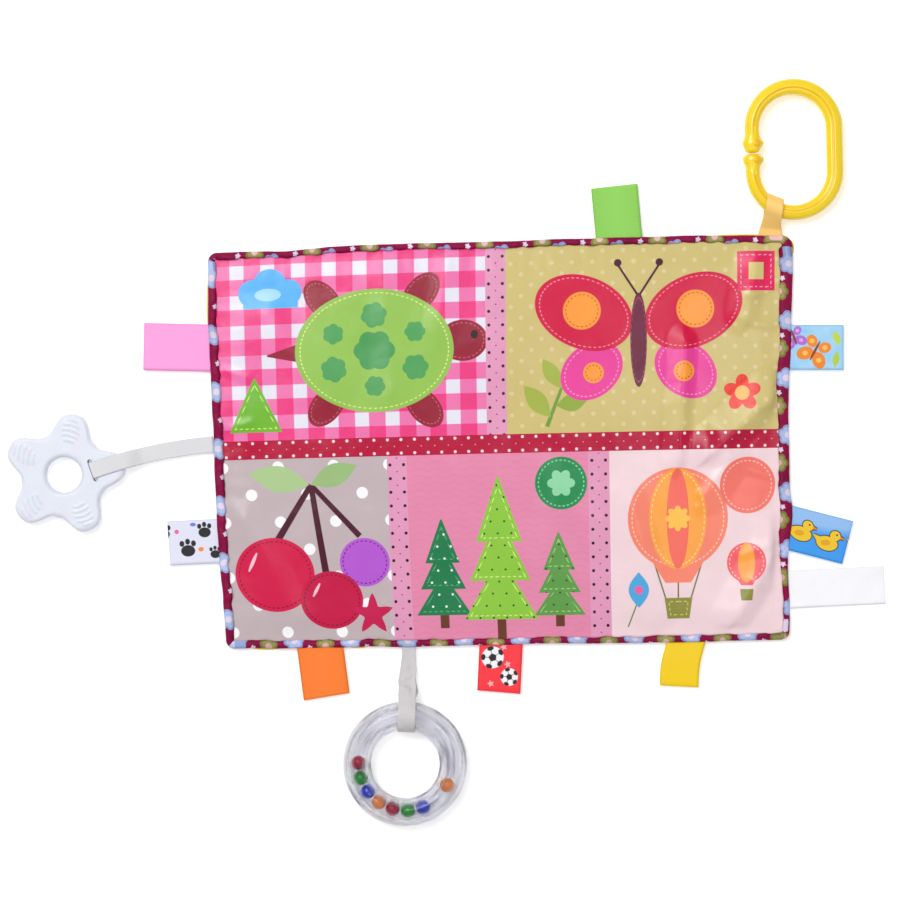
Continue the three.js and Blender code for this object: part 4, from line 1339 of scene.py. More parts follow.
@dataclass
class RibbonLoop:
    """A ribbon sewn into the edge by both ends and pressed flat, or drawn round a rod."""

    outline: Outline
    edge: Edge
    place: float
    lean: float
    length: float
    width: float
    skew: float
    half: float
    ply: float = 0.45
    solid_ply: float = 0.6
    hinge_gap: float = 0.4
    tuck: float = 2.4
    wave: float = 0.22
    seed: float = 0.0
    sway: float = 0.0
    root_share: float = 1.0
    far_share: float = 1.0
    crumple: float = 0.0

    def __post_init__(self) -> None:
        """Finds the root on the hinge line, just outside the tape."""
        self.seat = self.outline.seat(self.edge, self.place)
        self.root = self.seat.point + self.seat.out * (self.hinge_gap + self.solid_ply)
        self.ahead = turned(self.seat.out, self.lean)
        self.across = turned(self.ahead, -90)

    def plan(self, run: float, side: float, settled: float) -> Vector:
        """The plan point at a run out from the root and a share of the width."""
        share = min(max(run / settled, 0.0), 1.0)
        at_root, at_end = (math.tan(math.radians(angle)) for angle in (-self.lean, self.skew))
        slant = mix(at_root, at_end, share)
        out = self.ahead * (run + side * self.width * slant)
        return self.root + out + self.across * (side * self.width)

    def pressed_path(self) -> Path:
        """The middle of the ribbon: out, round the fold and back, as run and height."""
        root = HALF_GAP + self.ply / 2
        nose = self.half - self.ply / 2
        bend = self.length - self.half

        def centre(run: float) -> float:
            return mix(self.outline.seam_height, self.half + 0.3, run / self.length)

        def swell(run: float) -> float:
            return mix(root, nose, math.sin(math.pi / 2 * max(run, 0) / self.length))

        runs = [-self.tuck, *even(14, 0.0, bend)]
        upper = [(run, centre(run) + swell(run)) for run in runs]
        lower = [(run, centre(run) - swell(run)) for run in reversed(runs)]
        turn = [
            (bend + nose * math.sin(a), centre(bend) + nose * math.cos(a))
            for a in even(8, 0.0, math.pi)[1:-1]
        ]
        return upper + turn + lower

    def piece(
        self, name: str, finish: ClothFinish, body: str, path: Path, settled: float,
        reach: float = 4.5, columns: int = 14,
    ) -> Piece:
        """Lays the ribbon along a path, sews it in and keeps its cut length.

        Args:
            name: The piece's name.
            finish: Its cloth.
            body: Its own body, to which it bends from the blanket.
            path: Runs and heights of the ribbon's middle.
            settled: The run at which the ribbon's slant has settled.
            reach: How far out from its root it bends.
            columns: Steps across the width.

        Returns:
            The piece.
        """
        lengths = distances(path)
        self.cut_length = lengths[-1]

        def place(u: float, v: float) -> Vector:
            run, height = nth(path, u)
            share = min(max(run / self.length, 0.0), 1.0)
            narrowed = mix(self.root_share, self.far_share, smooth(2.2 * share))
            free = smooth(share * 1.4) * smooth((0.62 * self.length - run) / 6)
            ply = 5.0 * (u > 0.5)
            side = v - 0.5 + 0.12 * self.crumple * free * ripple(run, 4 * ply, 7, self.seed)
            point = self.plan(run, side * narrowed, settled)
            point += self.across * (self.sway * math.sin(math.pi * share))
            lift = self.wave * smooth(share) * (ripple(run + 40, side * 20, 13, self.seed) + 0.35)
            fine = ripple(run, side * self.width, 2.6, self.seed)
            fine += ripple(run + side * 4, side * self.width, 5.5, self.seed + 3)
            curl = 0.3 * self.wave * smooth(share) * (2 * side) ** 2
            rise = lift + curl + self.crumple * fine * free
            return raised(point, max(height + rise, self.ply / 2 + 0.03))

        def cloth(u: float, v: float) -> Vector:
            return Vector((nth(lengths, u), (v - 0.5) * self.width))

        build = shaped_grid(even(len(path) - 1), even(columns), place, cloth)
        piece = piece_from(build, name, finish, thickness=self.ply)
        inner, outer = self.root - self.seat.out * 1.2, self.root + self.seat.out * reach
        start, end = (raised(at, self.outline.seam_height) * MM for at in (inner, outer))
        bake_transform(piece, "blanket", body, start, end)
        return piece

    def wrapped_path(
        self, height: float, reach: float, radius: float, pinch: float, stretch: float = 1.0
    ) -> Path:
        """The ribbon's middle drawn round a rod: flat to the pinch, round the rod and back.

        Args:
            height: Height of the rod's middle.
            reach: Run from the seam to the rod's middle.
            radius: Radius of the wrap.
            pinch: Run at which its two plies part.
            stretch: How much longer the wrap is than round, for a ribbon that crosses askew.

        Returns:
            Runs and heights, out on top and back below.
        """
        half = HALF_GAP + self.ply / 2

        def centre(run: float) -> float:
            return mix(self.outline.seam_height, height, max(run, 0.0) / reach)

        def touch(sign: int) -> float:
            away = Vector((pinch - reach, centre(pinch) + sign * half - height))
            return math.atan2(away.y, away.x) - sign * math.acos(min(radius / away.length, 1.0))

        angles = even(30, touch(1) % FULL_TURN, touch(-1) % FULL_TURN - FULL_TURN)
        wrap = [(reach + stretch * (x - reach), z) for x, z in arc((reach, height), radius, angles)]
        flat = [-self.tuck, *even(round(pinch), 0.0, pinch)]
        upper = [(run, centre(run) + half) for run in flat]
        lower = [(run, centre(run) - half) for run in reversed(flat)]
        out, back = between(upper[-1], wrap[0], 20), between(wrap[-1], lower[0], 20)
        return upper + out + wrap + back + lower


class TagPrints:
    """The ribbons' small generic prints, in millimetres along and across the ribbon."""

    def paws(self, p: Printer) -> None:
        """Black paw prints with an orange and a pink spot, on white."""
        for x, y, size in ((9, 5, 1.0), (18.5, -4.5, 1.15), (31, 5, 1.0), (41, -5, 1.0), (4, -7, 0.8)):
            p.disc((x, y), (3.3 * size, 2.7 * size), "17151c")
            for dx, dy in ((2.7, 3.4), (0, 4.3), (-2.7, 3.4)):
                p.disc((x + dx * size, y + dy * size), (1.15 * size, 1.4 * size), "17151c")
        p.disc((11.5, -4), (1.5, 1.2), "f08a2c")
        p.disc((24, 6), 1.2, "e6609c")
        p.disc((15, 9.5), (1.6, 1), "6a7fd8")

    def butterflies(self, p: Printer) -> None:
        """Butterflies and leaf sprays on pale blue."""
        p.lay(p.wiring.times(p.wiring.noise(p.position, 0.16), 0.7), "c4e6fa")
        for x, y, size, turn, wing, spot in (
            (14.5, 1.6, 1.3, 28, "f08a2e", "f9c25c"),
            (3.0, -5.5, 0.95, -20, "b06fd6", "e9a6dc"),
            (40, -3, 1.3, 160, "f08a2e", "f9c25c"),
            (51, 5, 0.9, 200, "b06fd6", "e9a6dc"),
        ):
            self._butterfly(p, x, y, size, turn, wing, spot)
        p.bar((24.6, -9), (27.5, -1), 2, "c3d94e", leaf=1)
        p.bar((26.5, 2), (24.8, 11), 1.8, "b5d048", leaf=1)

    def _butterfly(
        self, p: Printer, x: float, y: float, size: float, turn: float, wing: str, spot: str
    ) -> None:
        centre = Vector((x, y))
        for dx, dy, rx, ry, tilt in ((3.2, 3, 3.6, 2.7, 40), (3, -2.8, 2.7, 2.2, -40)):
            for flip in (1, -1):
                away = turned(Vector((dx * flip, dy)) * size, turn)
                at = centre + away
                p.disc(tuple(at), (rx * size, ry * size), wing, turn + tilt * flip)
                p.disc(tuple(at), (1.1 * size, 1.0 * size), spot)
        low = centre + turned(Vector((0, -4.2)) * size, turn)
        high = centre + turned(Vector((0, 4.6)) * size, turn)
        p.bar(tuple(low), tuple(high), 0.7, "8a3f24", leaf=0.6)

    def ducks(self, p: Printer) -> None:
        """Yellow ducks on water under a paler sky."""
        w, whole = p.wiring, p.position
        p.position = w.vector("MULTIPLY", whole, (1.0, -1.0, 1.0))
        x, y, _ = w.parts(p.position)
        p.lay(w.within(w.plus(w.minus(y, w.times(x, 0.1)), -1.2), 5.0), "3f9cf0")
        for cx, cy in ((7.6, -1.5), (22.6, -3.2), (41, -1.5), (55, -3)):
            for grown, body, beak in ((0.5, "1d2a22", "1d2a22"), (0.0, "f2c62e", "ee7f2a")):
                p.bar((cx - 8, cy + 3), (cx - 2.6, cy), (0.3 + grown, 2.6 + grown), body)
                p.bar((cx + 5.8, cy + 4.7), (cx + 8.8, cy + 4.3), (1 + grown, 0.3 + grown), beak)
                p.disc((cx, cy), (6 + grown, 3.8 + grown), body)
                p.disc((cx + 3.8, cy + 4.9), (2.8 + grown, 2.7 + grown), body)
            p.disc((cx - 0.8, cy + 0.2), (2.8, 1.5), "e3a71e", 12)
            p.disc((cx + 4.6, cy + 5.6), 0.5, "1d2a22")
        p.position = whole

    def balls(self, p: Printer) -> None:
        """Footballs and pale stars on red."""
        for cx, cy, radius in ((8.6, 4.2, 5.9), (18.8, -5.2, 4.6), (39, 4, 5.9), (49, -5, 4.6)):
            p.disc((cx, cy), radius, "f6f4f6")
            p.petals((cx, cy), 0.36 * radius, "26242e", depth=0.12, turn=20)
            for k in range(5):
                angle = math.radians(72 * k + 20)
                at = (cx + 0.86 * radius * math.cos(angle), cy + 0.86 * radius * math.sin(angle))
                p.bar((cx, cy), at, 0.16, "26242e")
                p.disc(at, (0.2 * radius, 0.3 * radius), "26242e", 72 * k + 20)
        for cx, cy in ((12.2, -4), (3, -1.5), (23, 4.6), (33, -5)):
            p.petals((cx, cy), 1.9, "fbb0b6", depth=0.5, pointed=1, turn=18)


@dataclass
class TagRow:
    """The ribbon tags and the care label."""

    outline: Outline

    def build(self) -> None:
        """Builds and sews each tag."""
        prints, satin, ribbed = TagPrints(), Weave.SATIN, Weave.RIBBED
        left, top, right, bottom = Edge.LEFT, Edge.TOP, Edge.RIGHT, Edge.BOTTOM
        plain = None
        rows = (
            ("pink", left, 0.761, -2.8, 35, 25.4, 0, 1.5, "fb9fdb", satin, plain),
            ("white_print", left, 0.271, -1, 26.5, 24, 1, 1.3, "dfe0f2", satin, prints.paws),
            ("green", top, 0.704, 4, 27.4, 25, 1, 1.3, "8fd05c", ribbed, plain),
            ("sky_print", right, 0.277, 0.4, 27.6, 24.3, 0, 1.3, "8cc8f2", satin, prints.butterflies),
            ("blue_print", right, 0.726, -13.9, 31.5, 23.9, 0, 1.4, "93c0f2", satin, prints.ducks),
            ("yellow", bottom, 0.183, -10.2, 24, 20.6, 6, 1.4, "f6cf12", satin, plain),
            ("red_print", bottom, 0.513, -3.6, 25, 23.3, -2, 1.3, "fb3a44", satin, prints.balls),
            ("orange", bottom, 0.835, 6.8, 26.4, 24.9, 2, 1.3, "fd7f2c", ribbed, plain),
        )
        for seed, (name, *placing, colour, weave, artwork) in enumerate(rows):
            sway = 1.1 if name == "yellow" else 0.0
            loop = RibbonLoop(self.outline, *placing, seed=seed * 3.7, sway=sway)
            roughness, relief = (0.55, 0.14) if weave is ribbed else (0.36, 0.03)
            finish = ClothFinish(
                f"{name} ribbon", colour, weave, roughness, relief=relief, crease=0.25, mottle_and_shade=0.06,
                artwork=artwork,
            )
            short = name.split("_")[0]
            path, settled = loop.pressed_path(), loop.length - loop.half
            piece = loop.piece(f"{name}_ribbon", finish, f"{short}_loop", path, settled)
            report(piece, f"{short}_loop", f"{name}_tag", slot=f"{short}_ribbon")
        self._label()

    def _label(self) -> None:
        blue_length, blue_width, blue_lean = 31.5, 23.9, 13.9
        length, width = 51.0, 20.5
        swing = blue_length * math.sin(math.radians(blue_lean))
        place = 0.726 + ((blue_width + width) / 2 + 3.3 + swing) / self.outline.length(Edge.RIGHT)
        loop = RibbonLoop(
            self.outline, Edge.RIGHT, place, 3.2, length, width, 0, 0.6,
            ply=0.2, solid_ply=0.3, wave=0.45, seed=31.0,
        )
        finish = ClothFinish(
            "bare label tape", "fafafe", Weave.PLAIN, roughness=0.4, crease=0.35, mottle_and_shade=0.04
        )
        path, settled = loop.pressed_path(), loop.length - loop.half
        piece = loop.piece("care_label_tape", finish, "label", path, settled)
        report(piece, "label", "care_label", slot="label_tape")


@dataclass
class Link:
    """The open oval link and the gold ribbon that holds it."""

    outline: Outline
    centre: Pair = (155.361, 158.223)
    height: float = 7.1
    tilt: float = 1.3
    bend: float = 22.1
    straight: float = 23.4
    mouth: float = 0.7
    mouth_drop: float = 1.6
    knob: float = 8.2
    wrap_angle: float = 242.0
    rod: float = 4.15
    lobes: Pair = (5.1, 3.0)
    boss: float = 0.8
    loop_reach: float = 14.5
    loop_radius: float = 5.5

    def _centre_line(self, distance: float) -> tuple[Vector, Vector]:
        """The rod's middle and the way out, at a distance round from the middle of its left."""
        half, bow = self.straight / 2, math.pi * self.bend
        if distance > self.straight + bow:
            point, out = self._centre_line(distance - self.straight - bow)
            return -point, -out
        if distance <= half:
            return Vector((-self.bend, distance)), Vector((-1, 0))
        left = distance - half
        if left <= bow:
            out = turned(Vector((-1, 0)), -math.degrees(left / self.bend))
            return out * self.bend + Vector((0, half)), out
        return Vector((self.bend, half + bow - left)), Vector((1, 0))

    def _halves(self, from_end: float, out: Vector, lobe_at: float) -> tuple[float, float, float]:
        """Half the rod's width and height there, and how far its knob leans into the link."""
        wide = self.rod + 0.3 * out.x + 0.15 * out.y
        tall = self.rod - 0.1
        lobe = bell(from_end - lobe_at, 2.7)
        end = math.sqrt(max(0.0, 1 - (1 - min(from_end / 1.9, 1.0)) ** 2))
        wide = mix(wide, 5.7, lobe) * mix(0.55, 1.0, end)
        tall = mix(tall, 4.5, lobe) * mix(0.55, 1.0, end)
        return wide, tall, 0.5 * lobe

    def ring(self) -> Piece:
        """The link: a ridged rod with a knob and a boss at each side of its mouth."""
        total = 2 * self.straight + FULL_TURN * self.bend
        first = self.mouth / 2 - self.mouth_drop
        last = total - self.mouth / 2 - self.mouth_drop
        ends = even(26, 0.0, self.knob + 1)
        middle = even(150, first + self.knob + 1, last - self.knob - 1)
        stops = [first + e for e in ends] + middle[1:-1] + [last - e for e in reversed(ends)]
        lobe_stops = (first + self.lobes[0], last - self.lobes[1])
        bosses = [point - out * 2.2 for point, out in map(self._centre_line, lobe_stops)]

        def place(u: float, v: float) -> Vector:
            stop = nth(stops, u)
            point, out = self._centre_line(stop)
            from_end = min(stop - first, last - stop)
            lobe_at = self.lobes[stop > total / 2]
            wide, tall, leaning = self._halves(from_end, out, lobe_at)
            angle = FULL_TURN * v
            lean = math.cos(angle)
            groove = bell(lean + 0.24, 0.09)
            ridge = bell(lean - 0.05, 0.16)
            away = smooth((from_end - self.knob) / 2.5)
            relief = (0.34 * ridge - 0.4 * groove) * away
            at = point + out * (wide * lean - leaning)
            near = min((at - boss).length for boss in bosses)
            rise = tall * abs(math.sin(angle)) ** 0.9 + relief + self.boss * smooth((2.3 - near) / 0.6)
            world = Vector(self.centre) + turned(at, self.tilt)
            return raised(world, self.height + math.copysign(1, math.sin(angle)) * rise)

        build = close(shaped_grid(even(len(stops) - 1), even(56), place))
        # Faces along the groove take a darker amber as painted shade of the groove; faces round the bosses
        # take the same darker amber.
        for face in build.faces:
            spot = turned(face.calc_center_median().xy / MM - Vector(self.centre), -self.tilt)
            core = Vector((0, min(max(spot.y, -self.straight / 2), self.straight / 2)))
            lean = ((spot - core).length - self.bend) / self.rod
            near = min((spot - boss).length for boss in bosses)
            face.material_index = int(near < 1.9 or (-0.36 < lean < -0.14 and near > 8.5))
        finishes = [
            MouldedFinish(name, colour, 0.25, coat=0.2, soft=0.1, bump=0.1)
            for name, colour in (("yellow plastic", "f7d51c"), ("amber plastic and groove shade", "f2bc0e"))
        ]
        return piece_from(build, "oval_link", *finishes)

    def loop(self) -> Piece:
        """The gold ribbon, from the seam round the rod and back."""
        rod_along = turned(Vector((1, 0)), self.wrap_angle + 90 + self.tilt)
        loop = RibbonLoop(
            self.outline, Edge.TOP, 0.963, -6.4, self.loop_reach + self.loop_radius,
            12.4, 0, 1.0, wave=0.12, seed=17.0, far_share=0.74,
        )
        loop.skew = 0.7 * math.degrees(math.asin(loop.across.cross(rod_along)))
        stretch = 1 / math.cos(math.radians(loop.skew))
        path = loop.wrapped_path(self.height, self.loop_reach, self.loop_radius, 3.0, stretch)
        finish = ClothFinish("gold ribbon", "ffd27a", Weave.SATIN, 0.36, crease=0.25, mottle_and_shade=0.06)
        settled = self.loop_reach - self.loop_radius
        return loop.piece("gold_ribbon_loop", finish, "link_hanger", path, settled, 2.0)


@dataclass
class Rattle:
    """The clear ring with its loose beads, and the woven strap that holds it."""

    outline: Outline
    centre: Pair = (-53.2, -171.595)
    height: float = 9.25
    outer: float = 33.3
    hole: float = 18.4
    flange: float = 1.0
    flange_half: float = 0.5
    wall: float = 1.2
    bead: float = 3.9
    bead_path: float = 25.2
    bead_drop: float = 0.75
    train_start: float = 179.0
    train_step: float = 18.84
    strap_reach: float = 36.2
    wrap_radius: float = 8.62

    def shell(self, name: str, side: int) -> Piece:
        """One half of the ring's tube, with its share of the welded flange."""
        middle = (self.outer + self.hole) / 2
        tube = (self.outer - self.hole) / 2 - self.flange
        lip = math.asin(self.flange_half / tube)
        bore = tube - self.wall
        edge, low = self.flange_half, self.flange_half * 0.7
        profile = [
            (self.outer, 0.0), (self.outer, low), (self.outer - 0.2, edge),
            *arc((middle, 0.0), tube, even(22, lip, math.pi - lip)),
            (self.hole + 0.2, edge), (self.hole, low), (self.hole, 0.0),
            *arc((middle, 0.0), bore, even(18, math.pi, 0.0)),
        ]
        build = bmesh.new()
        ring = [build.verts.new((x * MM, 0, side * z * MM)) for x, z in profile]
        for first, last in zip(ring, ring[1:] + ring[:1]):
            build.edges.new((first, last))
        bmesh.ops.spin(
            build, geom=[*build.verts, *build.edges], cent=ORIGIN, axis=(0, 0, 1), angle=FULL_TURN,
            steps=120, use_merge=True,
        )
        bmesh.ops.recalc_face_normals(build, faces=build.faces)
        at = Vector((*self.centre, self.height)) * MM
        bmesh.ops.translate(build, verts=build.verts, vec=at)
        # The strong unevenness, the shade streaks and the rim's cover paint the shade bands and dark
        # outlines of the clear tube.
        finish = MouldedFinish(
            "clear plastic", "c4c4d4", 0.03, clear=1.0, alpha=0.28, scuffing=0.03, uneven_tone_and_shade=0.3,
            bump=0.3, shade_streaks=0.3, around=self.centre,
        )
        return piece_from(build, name, finish)

    def beads(self) -> None:
        """The train of seven beads and the lone one."""
        colours = {"red": "b80a3a", "green": "22ae2e", "blue": "123cd8", "orange": "ff984a"}
        slots = [*colours] * 2
        angles = [self.train_start + k * self.train_step for k in range(7)]
        angles.append(angles[-1] + 40.6)
        for k, angle in enumerate(angles):
            build = bmesh.new()
            bmesh.ops.create_uvsphere(build, u_segments=32, v_segments=20, radius=self.bead * MM)
            plan = Vector(self.centre) + turned(Vector((self.bead_path, 0)), angle)
            at = raised(plan, self.height - self.bead_drop) * MM
            bmesh.ops.translate(build, verts=build.verts, vec=at)
            look = {"clear": 0.2, "coat": 0.4, "scuffing": 0.05}
            finish = MouldedFinish(f"{slots[k]} bead plastic", colours[slots[k]], 0.08, **look)
            piece = piece_from(build, f"rolling_bead_ball_{k + 1}", finish)
            report(piece, f"rolling_bead_{k + 1}", f"bead_{k + 1}", slot=f"{slots[k]}_bead")

    def strap(self) -> Piece:
        """The woven strap, wrinkled on its way and flat over the tube."""
        loop = RibbonLoop(
            self.outline, Edge.BOTTOM, 0.677, -2.5, self.strap_reach + 8.6, 9.3, 0, 1.0,
            wave=0.3, seed=23.0, root_share=0.78, crumple=2.5,
        )
        finish = ClothFinish(
            "woven white strap", "e6e2e4", Weave.BRAIDED, 0.55, relief=0.45, crease=2.8, mottle_and_shade=0.2
        )
        pinch = 17.0
        path = loop.wrapped_path(self.height, self.strap_reach, self.wrap_radius, pinch)
        piece = loop.piece("woven_strap", finish, "rattle_hanger", path, pinch, columns=20)
        log.info("woven strap: %.1f mm long", loop.cut_length)
        return piece

    def build(self) -> None:
        """Builds the ring, the beads and the strap."""
        report(self.shell("ring_front", 1), "rattle", "ring_front_shell", slot="clear_plastic")
        report(self.shell("ring_back", -1), "rattle", "ring_back_shell", slot="clear_plastic")
        self.beads()
        report(self.strap(), "rattle_hanger", "rattle_strap", slot="strap_ribbon")


@dataclass
class Teether:
    """The five-armed teether and the white strap through its slot."""

    outline: Outline
    centre: Pair = (-236.753, -16.492)
    bottom: float = 0.3
    tip: float = 33.0
    notch: float = 23.0
    thickness: float = 8.5
    hole: float = 9.4
    arm_pitch: float = 72.0
    arm_peak: float = 1.35
    arm_angle: float = 8.4
    slot_radius: float = 15.9
    slot_length: float = 12.4
    slot_width: float = 2.7
    edge_round: float = 2.6
    strap_place: float = 0.516
    strap_width: float = 8.8
    strap_end: Pair = (64.1, 10.9)
    strap_knee: Pair = (32.0, 1.2)
    ply: float = 0.45
    solid_ply: float = 0.6
    gap: float = 0.3
    to_far_wall: float = 0.8

    def __post_init__(self) -> None:
        """Finds the strap's line in plan."""
        seat = self.outline.seat(Edge.LEFT, self.strap_place)
        self.seat = seat
        self.root = seat.point + seat.out * (0.4 + self.solid_ply)
        knee, end = self.strap_knee, self.strap_end
        self.knee = self.root + seat.out * knee[0] - seat.along * knee[1]
        self.end = self.root + seat.out * end[0] - seat.along * end[1]
        self.steps = distances([self._bezier(t) for t in even(200)])
        self.run = self.steps[-1]
        ahead = (self.end - self.knee).normalized()
        arm = turned(Vector((1, 0)), self.arm_angle)
        self.bar = self.tip + self.slot_radius * ahead.dot(arm)
        self.pivot_run = self.run - self.bar - 1.5
        self.over = self.bottom + self.thickness + self.gap
        self.under = self.bottom + self.solid_ply + self.gap

    def _bezier(self, t: float) -> Vector:
        return self.root.lerp(self.knee, t).lerp(self.knee.lerp(self.end, t), t)

    def _at(self, run: float) -> tuple[Vector, Vector]:
        held = min(max(run, 0.0), self.run)
        i = next(k for k in range(1, len(self.steps)) if self.steps[k] >= held - 1e-9)
        first, last = self.steps[i - 1], self.steps[i]
        t = (i - 1 + (held - first) / (last - first)) / (len(self.steps) - 1)
        slope = self.root.lerp(self.knee, t) - self.knee.lerp(self.end, t)
        ahead = -slope.normalized()
        return self._bezier(t) + ahead * (run - held), ahead

    def star(self) -> Piece:
        """The teether: a soft-edged star with a hole, a slot and ridges on its arms."""
        mean, wave = (self.tip + self.notch) / 2, (self.tip - self.notch) / 2
        half = self.thickness / 2
        spokes = even(300)
        arms = [math.cos(math.radians(5 * 360 * spoke)) for spoke in spokes]
        rims = [mean + wave * (self.arm_peak * c - (self.arm_peak - 1) * c**3) for c in arms]
        sections = [self._section(rim) for rim in rims]

        def place(u: float, v: float) -> Vector:
            section = nth(sections, u)
            radius, z = nth(section, v)
            angle = 360 * u
            arm = (angle + self.arm_pitch / 2) % self.arm_pitch - self.arm_pitch / 2
            ((along, aside),) = arc((0.0, 0.0), radius, [math.radians(arm)])
            if z > half - 0.6:
                z += self._ridges(along, aside, angle)
            point = Vector(self.centre) + turned(Vector((radius, 0)), angle + self.arm_angle)
            return raised(point, self.bottom + half + z)

        build = close(shaped_grid(spokes, even(len(sections[0]) - 1), place))
        body = piece_from(build, "star_body")
        cutters = self._cutters()
        for cutter in cutters:
            cut = body.modifiers.new("cut", "BOOLEAN")
            cut.operation = "DIFFERENCE"
            cut.solver = "EXACT"
            cut.object = cutter
        graph = bpy.context.evaluated_depsgraph_get()
        mesh = bpy.data.meshes.new_from_object(body.evaluated_get(graph))
        piece = placed("star_of_silicone", mesh)
        for spare in (body, *cutters):
            bpy.data.objects.remove(spare)
        for polygon in mesh.polygons:
            polygon.use_smooth = True
        mesh.set_sharp_from_angle(angle=math.radians(40))
        finish = MouldedFinish("white silicone", "dde1ec", 0.42, soft=0.25, bump=0.3, scuffing=0.2)
        mesh.materials.append(finish.material())
        return piece

    def _section(self, rim: float) -> Path:
        """The section of an arm from the hole to the rim, rounded at its four corners."""
        soft = self.edge_round
        half = self.thickness / 2
        corners = (
            (self.hole + soft, half - soft, 180, 44),
            (rim - soft, half - soft, 90, 3),
            (rim - soft, soft - half, 0, 44),
            (self.hole + soft, soft - half, -90, 3),
        )
        arcs = [
            arc((x, z), soft, [math.radians(angle) for angle in even(7, first, first - 90)])
            for x, z, first, _ in corners
        ]
        points: Path = []
        for k, corner in enumerate(arcs):
            points += corner + between(corner[-1], arcs[(k + 1) % 4][0], corners[k][3])
        return [*points, points[0]]

    def _ridges(self, along: float, aside: float, angle: float) -> float:
        arm = round(((angle + self.arm_pitch / 2) % 360) // self.arm_pitch)
        if arm == 0:
            return 0.0
        tilt = (0.0, 0.12, -0.35, 0.3, 0.1)[arm]
        rise = 0.0
        for middle, reach in ((18.6, 3.6), (21.5, 4.8), (24.4, 5.2), (27.2, 4.8), (29.6, 3.2)):
            off = along - middle - tilt * aside + 0.045 * aside**2
            end = smooth((reach - abs(aside)) / 1.4)
            rise += 0.5 * end * bell(off, 0.62)
        return rise

    def _cutter(self, name: str, centre: Vector, size: Vector, z: float) -> Piece:
        _, ahead = self._at(self.run)
        build = bmesh.new()
        bmesh.ops.create_cube(build, size=1.0)
        bmesh.ops.scale(build, vec=size * MM, verts=build.verts)
        upright = [e for e in build.edges if abs((e.verts[0].co - e.verts[1].co).normalized().z) > 0.9]
        bmesh.ops.bevel(
            build, geom=upright, offset=1.2 * MM, segments=4, affect="EDGES", profile=0.5, material=-1
        )
        turn = Matrix.Rotation(math.atan2(ahead.y, ahead.x), 3, "Z")
        bmesh.ops.rotate(build, verts=build.verts, cent=ORIGIN, matrix=turn)
        bmesh.ops.translate(build, verts=build.verts, vec=raised(centre, z) * MM)
        return piece_from(build, name)

    def _cutters(self) -> list[Piece]:
        """The slot through the arm, and the channel below it for the strap's lower ply."""
        length, deep = self.bar + 6, self.solid_ply + 2 * self.gap
        slot = Vector((self.slot_width, self.slot_length, 3 * self.thickness))
        channel = Vector((length, self.strap_width + 1.6, 2 * deep))
        middle = self.end - self._at(self.run)[1] * (length / 2)
        return [
            self._cutter("slot_cutter", self.end, slot, self.bottom + self.thickness / 2),
            self._cutter("channel_cutter", middle, channel, self.bottom),
        ]

    def _strap_path(self) -> Path:
        half = HALF_GAP + self.ply / 2
        pivot_height = (self.over + self.under) / 2
        pinch = self.pivot_run - 10
        crest = self.run - self.bar
        seam = self.outline.seam_height

        def centre(run: float) -> float:
            return mix(seam, pivot_height, run / self.pivot_run)

        upper = [(run, centre(run) + half) for run in even(22, -0.9, pinch)]
        climb = [
            (mix(pinch, crest, s), mix(centre(pinch) + half, self.over + 0.3, smooth(s)))
            for s in even(12)[1:]
        ]
        end = self.run + self.to_far_wall
        over = [(run, self.over + 0.3) for run in even(16, crest, end - 0.6)[1:]]
        nose = [
            (end - 0.6 + 0.6 * math.sin(a), self.over - 0.3 + 0.6 * math.cos(a))
            for a in even(4, 0.0, math.pi / 2)[1:]
        ]
        down = [(end, mix(self.over - 0.4, self.under + 0.4, s)) for s in even(8)[1:]]
        under = [(run, self.under - 0.3) for run in even(16, end - 0.6, crest)]
        drop = [
            (mix(crest, pinch, s), mix(self.under - 0.3, centre(pinch) - half, smooth(s)))
            for s in even(12)[1:]
        ]
        lower = [(run, centre(run) - half) for run in even(22, pinch, -0.9)[1:]]
        return upper + climb + over + nose + down + under + drop + lower

    def strap(self) -> Piece:
        """The white strap: two plies that bend sideways to the star and go through its slot."""
        path = self._strap_path()
        lengths = distances(path)

        def place(u: float, v: float) -> Vector:
            run, height = nth(path, u)
            point, ahead = self._at(run)
            free = smooth(run / 10) * smooth((self.pivot_run - run) / 12)
            wave = 0.35 * free * ripple(run, v * 3, 14, 9.4)
            at = point + turned(ahead, -90) * ((v - 0.5) * self.strap_width)
            return raised(at, max(height + wave, 0.3))

        def cloth(u: float, v: float) -> Vector:
            return Vector((nth(lengths, u), (v - 0.5) * self.strap_width))

        build = shaped_grid(even(len(path) - 1), even(12), place, cloth)
        finish = ClothFinish("white strap ribbon", "e3e3e6", Weave.PLAIN, 0.5, relief=0.1)
        piece = piece_from(build, "teether_ribbon", finish, thickness=self.ply)
        pivot, ahead = self._at(self.pivot_run)
        middle = (self.over + self.under) / 2
        start = Vector((*(pivot - ahead * 9), middle)) * MM
        end = Vector((*(pivot + ahead * 1.0), middle)) * MM
        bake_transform(piece, "teether_hanger", "teether", start, end)
        return piece

    def build(self) -> None:
        """Builds the star and its strap."""
        report(self.star(), "teether", "star_teether", slot="teether_silicone")
        report(self.strap(), "teether_hanger", "teether_strap", slot="strap_ribbon")


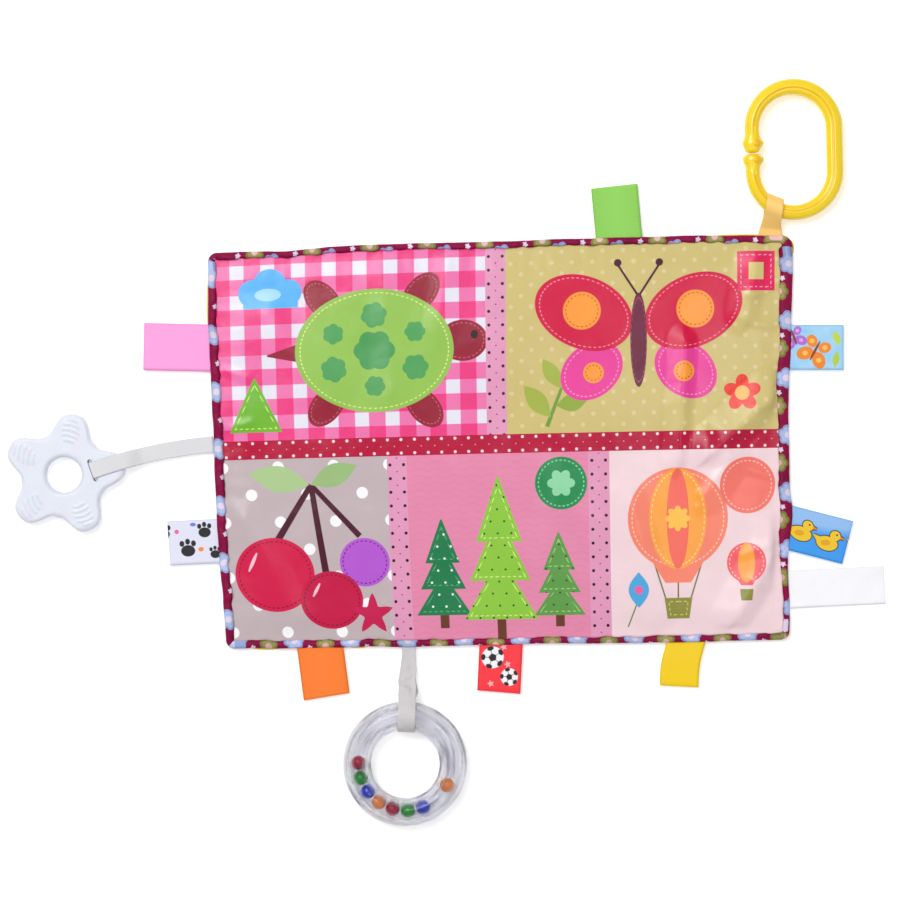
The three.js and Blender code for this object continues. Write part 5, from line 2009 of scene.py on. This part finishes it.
@dataclass
class Studio:
    """The pale floor, the soft light and the camera straight above."""

    view_width: float = 486.0
    view_centre: Pair = (-29.2, -3.2)
    camera_height: float = 1500.0
    sensor: float = 36.0

    def build(self) -> None:
        """Sets up the stage."""
        build = bmesh.new()
        bmesh.ops.create_grid(build, x_segments=1, y_segments=1, size=3.0)
        bmesh.ops.translate(build, verts=build.verts, vec=(0, 0, -0.0003))
        floor = piece_from(build, "pale_floor")
        paper, w = empty_material("pale paper")
        look = {
            "Base Color": (0.95, 0.95, 0.95, 1), "Roughness": 0.9, "Emission Color": (1, 1, 1, 1),
            "Emission Strength": 0.3,
        }
        shader = w.add("ShaderNodeBsdfPrincipled", look)
        w.add("ShaderNodeOutputMaterial", {"Surface": shader.outputs["BSDF"]})
        floor.data.materials.append(paper)
        world = bpy.data.worlds.new("studio")
        world.use_nodes = True
        w = Wiring(world.node_tree)
        up = w.parts(w.add("ShaderNodeTexCoord").outputs["Generated"])[2]
        sky = world.node_tree.nodes["Background"]
        w.tree.links.new(w.eased(up, from_max=0.55, to_min=0.25), sky.inputs["Color"])
        sky.inputs["Strength"].default_value = 0.5
        bpy.context.scene.world = world
        bpy.context.scene.view_settings.view_transform = "Standard"
        self._lamp("key", (-0.56, 0.62, 1.58), 0.8, 18.8)
        self._lamp("fill", (0.95, -0.55, 1.3), 1.4, 1.6)
        self._lamp("gloss", (0.35, 0.09, 1.5), 0.18, 1.5)
        camera = placed("camera", bpy.data.cameras.new("camera"))
        camera.data.sensor_width = self.sensor
        camera.data.lens = self.sensor * self.camera_height / self.view_width
        camera.location = Vector((*self.view_centre, self.camera_height)) * MM
        bpy.context.scene.camera = camera

    def _lamp(self, name: str, at: tuple[float, float, float], size: float, power: float) -> None:
        lamp = placed(name, bpy.data.lights.new(name, "AREA"))
        lamp.data.size = size
        lamp.data.energy = power
        lamp.location = at
        lamp.rotation_euler = (-Vector(at)).to_track_quat("-Z", "Y").to_euler()


def main() -> None:
    """Builds the stage and every piece, in order."""
    logging.basicConfig(level=logging.INFO, format="%(name)s: %(message)s")
    Studio().build()
    outline = Outline()
    sheets = BlanketSheets(outline)
    front = sheets.front()
    report(front, "blanket", "front_panel", slot="front_print")
    wadding = sheets.padding()
    report(wadding, "blanket", "batting", slot="batting")
    film = sheets.film()
    report(film, "blanket", "crinkle_film", slot="crinkle_film")
    back = sheets.back()
    report(back, "blanket", "back_panel", slot="back_cloth")
    binding = Binding(outline)
    tape = binding.band()
    report(tape, "blanket", "binding", slot="binding_tape")
    rolls = []
    for name, edge, first, last in (
        ("back_roll_left", Edge.LEFT, 0.76, 0.97),
        ("back_roll_bottom", Edge.BOTTOM, 0.9, 0.965),
        ("back_roll_middle", Edge.BOTTOM, 0.745, 0.79),
        ("back_roll_top", Edge.TOP, 0.84, 0.985),
        ("back_roll_right", Edge.RIGHT, 0.01, 0.05),
    ):
        rolls.append(binding.back_roll(name, edge, first, last))
        report(rolls[-1], "blanket", slot="back_cloth")
    TagRow(outline).build()
    link = Link(outline)
    report(link.ring(), "link", "link_ring", slot="link_plastic")
    report(link.loop(), "link_hanger", "link_loop", slot="gold_ribbon")
    Rattle(outline).build()
    Teether(outline).build()


if __name__ == "__main__":
    main()
